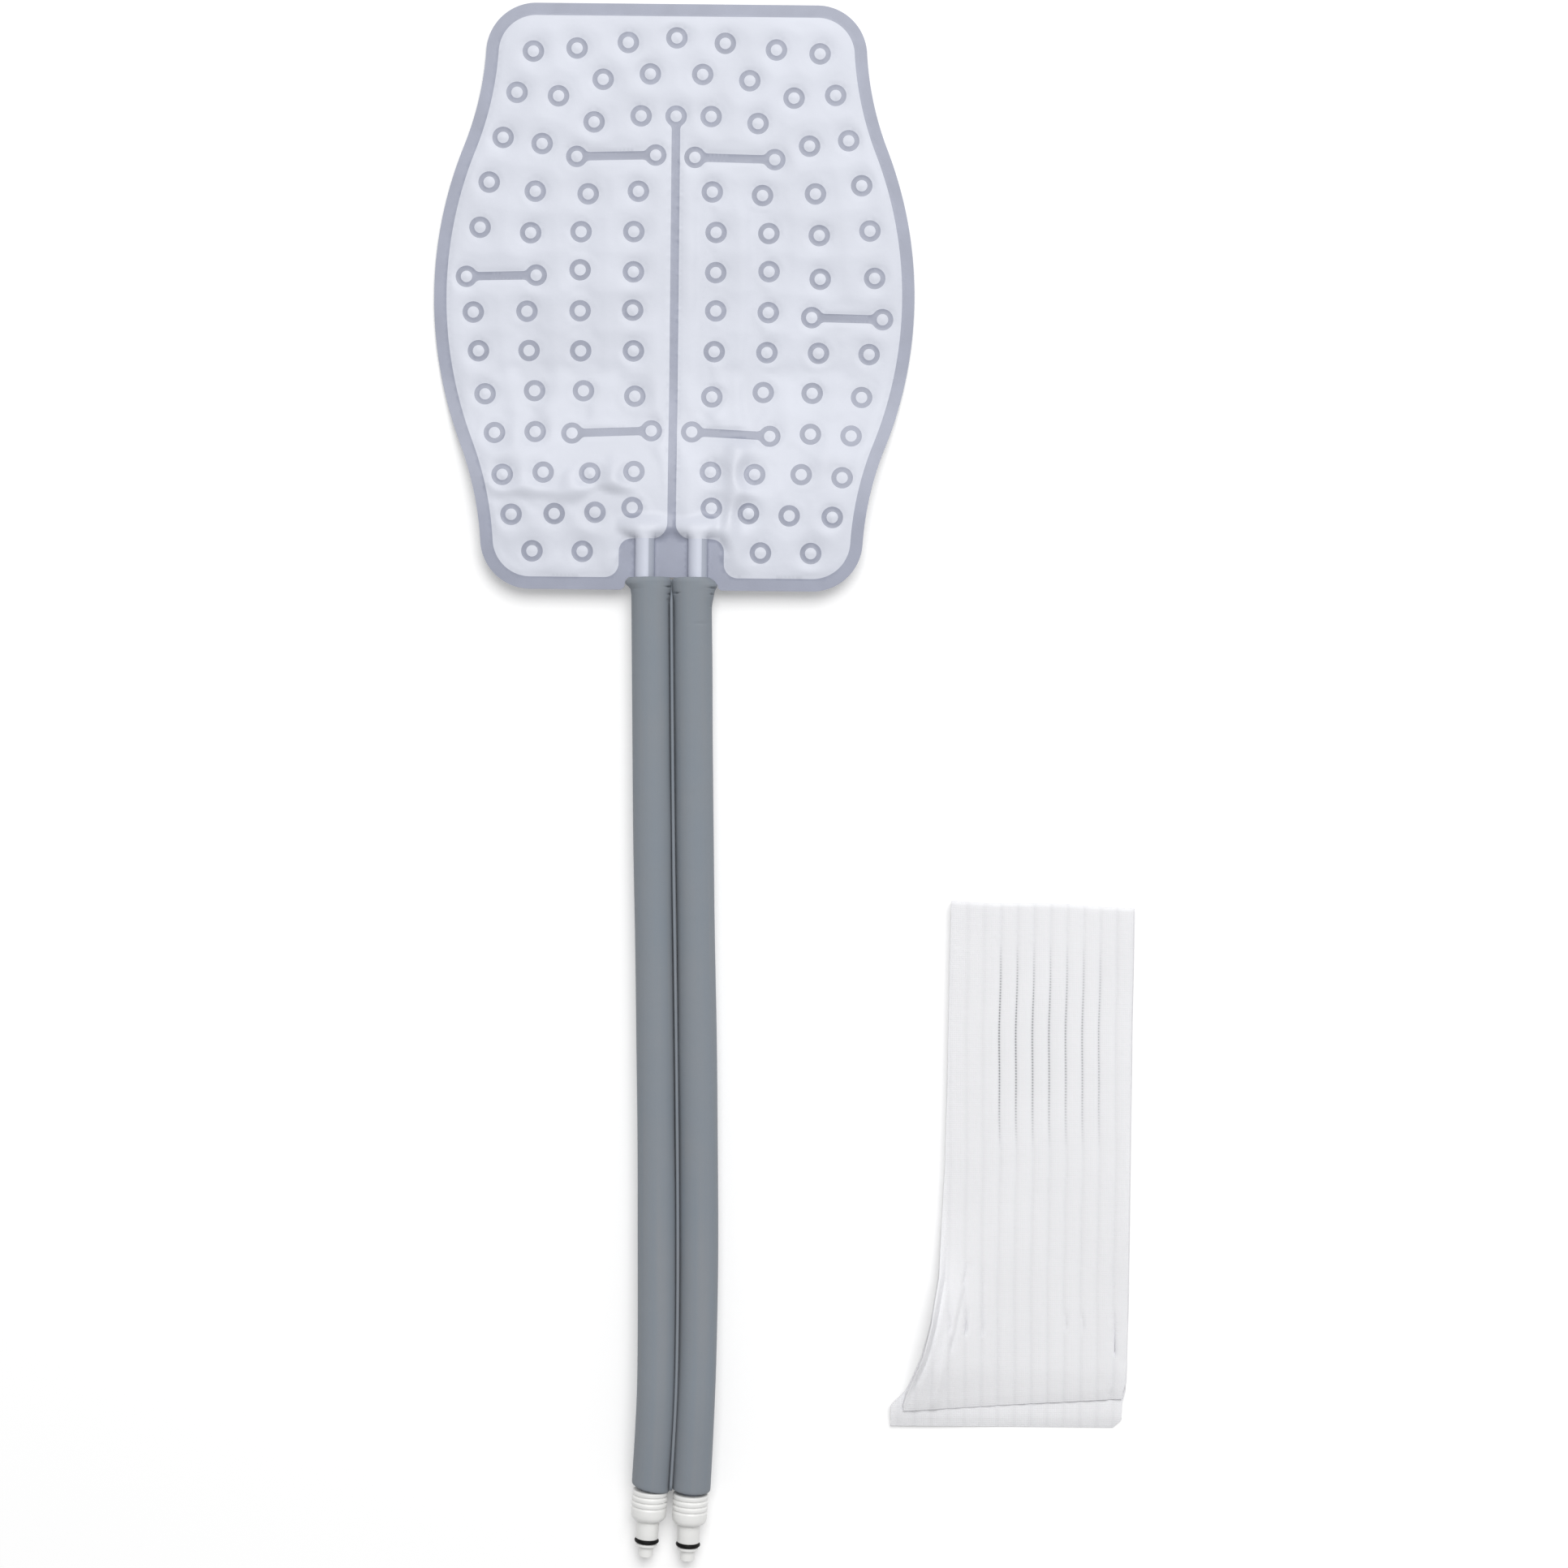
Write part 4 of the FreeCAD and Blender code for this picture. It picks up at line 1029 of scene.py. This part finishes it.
def row_across(layer, y):
    """Places across a layer at one height, from its right edge to its left edge."""
    tuck = 0.25 * (TOP_LAYER - layer) if layer else 0.0
    left = edge_at(FOOT_LEFT_EDGE if layer == 0 else LEFT_EDGE, y) + tuck
    right, rib_line = edge_at(RIGHT_EDGE, y), rib_line_at(y)
    lead = max(RIB_COLUMNS[0], rib_line - right + 0.5)
    squeeze = (SQUEEZED_TO - lead) / (SQUEEZED_TO - RIB_COLUMNS[0])
    near = SQUEEZED_TO - (SQUEEZED_TO - RIB_COLUMNS) * squeeze
    ribs = rib_line - np.where(RIB_COLUMNS < SQUEEZED_TO, near, RIB_COLUMNS)
    return np.concatenate([right + (ribs[0] - right) * RIGHT_COLUMNS, ribs,
                           ribs[-1] + (left - ribs[-1]) * LEFT_COLUMNS])


# Folds in the top layer: two pixels of the photograph, its height and its half width.
WRAP_FOLDS = [
    ((1152, 1716), (1188, 1560), 1.3, 2.2),
    ((1130, 1722), (1166, 1590), 1.0, 2.4),
    ((1172, 1650), (1194, 1555), -1.0, 1.4),
    ((1112, 1700), (1142, 1630), 0.8, 2.0),
    ((1189, 1636), (1190, 1612), -2.0, 0.9),
    ((1210, 1632), (1209, 1560), -1.1, 0.9),
    ((1186, 1576), (1190, 1556), -1.6, 0.9),
    ((1169, 1632), (1170, 1616), -1.4, 0.9),
    ((1313, 1634), (1313, 1618), -1.0, 0.9),
    ((1334, 1636), (1333, 1618), -1.0, 0.9),
    ((1373, 1664), (1372, 1620), -1.3, 0.9),
    ((1365, 1738), (1368, 1712), -1.3, 1.2),
]
# A groove's depth, its further depth where it is pulled open, and its half width; the height
# of the ribs' crowns; and the share of all that which the smooth part lacks.
GROOVE, GROOVE_OPEN, GROOVE_HALF, RIB_CROWN, SMOOTHED = 0.30, 0.36, 1.15, 0.10, 0.88
GROOVES_OPEN_AT, GROOVES_OPEN_HALF = -385.0, 38.0
SMOOTH_FROM, SMOOTH_DOWN_TO = 70.5, -520.0


def wrap_relief(layer, x, y, from_right):
    """Grooves between the ribs, and the fan of soft folds at the lower left."""
    phase = from_right - FIRST_GROOVE
    off = (np.remainder(phase + RIB_PITCH / 2, RIB_PITCH) - RIB_PITCH / 2) / GROOVE_HALF
    crown = np.cos(phase * 2 * pi / RIB_PITCH)
    plain = ease(from_right, SMOOTH_FROM, SMOOTH_FROM + 3)
    plain = plain * ease(y, SMOOTH_DOWN_TO, SMOOTH_DOWN_TO + 30)
    middle = GROOVES_OPEN_AT - 8.0 * ease(from_right, 60, 66)
    is_open = np.exp(-(((y - middle) / GROOVES_OPEN_HALF) ** 2)) * ease(from_right, 0, 10)
    deep = GROOVE + GROOVE_OPEN * is_open
    relief = -(1 - SMOOTHED * plain) * (deep * np.exp(-off**2) + RIB_CROWN * crown)
    if layer == 0:
        relief = relief * 0.1
    if layer == TOP_LAYER:
        spot = np.stack([x, y], -1)
        for start, end, height, width in WRAP_FOLDS:
            share, gap = beside(spot, np.array(on_floor(*start)), np.array(on_floor(*end)), -0.1)
            relief = relief + height * np.exp(-((gap / width) ** 2)) * (1 - 0.5 * share)
    return relief


# Where the left edge stands highest off the floor, how high, and the height and width of the
# top layer's turned-up selvage.
LIFT_AT, LIFT, LIP, LIP_WIDTH = -536.0, 7.0, 7.5, 3.4


def near_lift(y, above, below):
    """1 where the left edge stands highest, less above and below that."""
    return np.exp(-(((y - LIFT_AT) / np.where(y > LIFT_AT, above, below)) ** 2))


def wrap_lift(layer, x, y):
    """The strip stands off the floor at the lower left; its last end drops to the foot."""
    pitch = LAYER_PITCH + (LOW_PITCH - LAYER_PITCH) * ease(-y, 480, 550)
    low_left = LIFT * (1 - ease(x, 128, 184)) * near_lift(y, 34.0, 37.0)
    drop = lip = foot = 0.0
    if layer == TOP_LAYER:
        drop = 1.5 * LOW_PITCH * ease(-y, 553, 575)
        from_left = x - edge_at(LEFT_EDGE, y)
        lip = LIP * (1 - ease(from_left, 0, LIP_WIDTH)) * near_lift(y, 36.0, 23.0)
    if layer == 0:
        foot = 0.5 * ease(-y, 566, 576) * (1 - ease(-y, 578, 585))
    return layer * pitch + low_left + lip - drop + foot


def wrap_row(layer, y):
    """A row of points across a layer: drooping at the top, slanting at the lower end."""
    short = 22.0 * float(ease(-y, 490, 576)) if layer in (1, 2) else 0.0
    x = row_across(layer, y + short)
    share = (x[0] - x) / (x[0] - x[-1])
    droop = 3.2 * np.clip(1 - share / 0.4, 0, 1) ** 1.4 + 0.4 * np.sin(share * 9)
    ys = y - (droop + 1.5 * np.sin(pi * share)) * float(ease(y, -360, -313))
    slant = (7.0 * (1 - share) - 1.0) * float(ease(-y, 540, 576)) if layer else 0.0
    ys = ys + slant + short
    z = CLOTH / 2 + FLOOR_GAP + wrap_lift(layer, x, ys)
    z = z + wrap_relief(layer, x, ys, rib_line_at(ys) - x)
    return np.stack([x, ys, z], -1)


def fold_rows(last_row, layer):
    """The half-round bend from one layer up into the next."""
    radius, outward = LAYER_PITCH / 2, (-1) ** layer
    turns = np.linspace(0, pi, FOLD_ROWS + 2)[1:-1]
    return [last_row + (0, outward * radius * math.sin(t), radius * (1 - math.cos(t)))
            for t in turns]


def layer_places(layer):
    """Heights of a layer's rows; the lowest layer starts at its cut end, at the bottom."""
    lower = WRAP_END if layer == 0 else WRAP_FOLD
    start, end = (lower, WRAP_TOP) if layer % 2 == 0 else (WRAP_TOP, lower)
    places = np.linspace(start, end, ALONG_COUNT)
    if layer == 0:
        places[1] = start + END_ROW
    if layer == TOP_LAYER:
        places[-2] = end + END_ROW
    return places


def add_wrap():
    """One strip folded into layers, with ribs along it and thinned cut ends."""
    rows, along, run = [], [], 0.0
    for layer in range(TOP_LAYER + 1):
        places = layer_places(layer)
        rows += [wrap_row(layer, y) for y in places]
        along += [run + abs(y - places[0]) for y in places]
        run += abs(places[-1] - places[0])
        if layer < TOP_LAYER:
            rows += fold_rows(rows[-1], layer)
            along += [run] * FOLD_ROWS
    points, along = np.array(rows), np.array(along)
    thin = THIN_END + (1 - THIN_END) * ease(np.minimum(along, run - along), 0, THIN_OVER)
    points[:, :, 2] -= (1 - thin)[:, None] * CLOTH / 2
    item = add_mesh("folded_wrap", points.reshape(-1, 3),
                    grid_faces(len(rows), ACROSS_COUNT, False))
    from_right = rib_line_at(points[:, :, 1]) - points[:, :, 0]
    set_uv(item, from_right.ravel(), np.repeat(along, ACROSS_COUNT))
    thick = item.modifiers.new("thickness", "SOLIDIFY")
    thick.thickness, thick.offset = CLOTH * MM, 0.0
    weights = item.vertex_groups.new(name="thickness")
    thick.vertex_group = "thickness"
    corners = np.arange(len(rows) * ACROSS_COUNT).reshape(len(rows), ACROSS_COUNT)
    for row, weight in zip(corners.tolist(), thin.tolist()):
        weights.add(row, weight, "REPLACE")
    finish_piece(item, ELASTIC, WRAP_BODY, "elastic", "elastic_wrap")


add_wrap()


# ---------------- floor, backdrop and light
FLOOR_HALF = 6000.0


def add_floor():
    """A pale floor that keeps the shadows; the camera sees it lifted to white."""
    corners = [(-1, -1, 0), (1, -1, 0), (1, 1, 0), (-1, 1, 0)]
    floor = add_mesh("floor", np.array(corners) * FLOOR_HALF, [(0, 1, 2, 3)])
    material = new_material("floor", (0.88, 0.88, 0.88), 0.9, Specular_IOR_Level=0.1,
                            Emission_Color=(1, 1, 1, 1))
    rays = add_node(material, "LightPath").outputs
    seen = math_node(material, "MAXIMUM", rays["Is Glossy Ray"], rays["Is Transmission Ray"])
    seen = math_node(material, "MAXIMUM", rays["Is Camera Ray"], seen)
    reach = add_node(material, "VectorMath", operation="LENGTH")
    link(add_node(material, "TexCoord").outputs["Object"], reach.inputs[0])
    far = add_node(material, "MapRange", interpolation_type="SMOOTHSTEP", From_Min=0.6,
                   From_Max=4.0, To_Min=0.22, To_Max=0.72)
    link(reach.outputs["Value"], far.inputs["Value"])
    glow = math_node(material, "MULTIPLY", seen, far.outputs[0])
    link(glow, shader_of(material).inputs["Emission Strength"])
    floor.data.materials.append(material)


WORLD_LIGHT = 0.37


def add_world():
    """White to the camera, and a softer white as light."""
    world = bpy.data.worlds.new("studio")
    bpy.context.scene.world = world
    world.use_nodes = True
    backdrop = world.node_tree.nodes["Background"]
    backdrop.inputs["Color"].default_value = (1, 1, 1, 1)
    rays, strength = add_node(world, "LightPath"), add_node(world, "Mix", A=WORLD_LIGHT, B=1.0)
    link(rays.outputs["Is Camera Ray"], strength.inputs[0])
    link(strength.outputs[0], backdrop.inputs["Strength"])


# In metres and watts.
BOX_PLACE, BOX_TARGET, BOX_WIDTH, BOX_POWER = (0.5, 1.5, 3.3), (0.05, -0.25, 0), 2.8, 113


def add_softbox():
    data = bpy.data.lights.new("softbox", "AREA")
    data.size, data.energy = BOX_WIDTH, BOX_POWER
    lamp = add_object("softbox", data)
    lamp.location = BOX_PLACE
    lamp.rotation_mode = "QUATERNION"
    aim = Vector(BOX_TARGET) - Vector(BOX_PLACE)
    lamp.rotation_quaternion = aim.to_track_quat("-Z", "Y")


add_floor()
add_world()
add_softbox()
bpy.context.scene.view_settings.view_transform = "Standard"
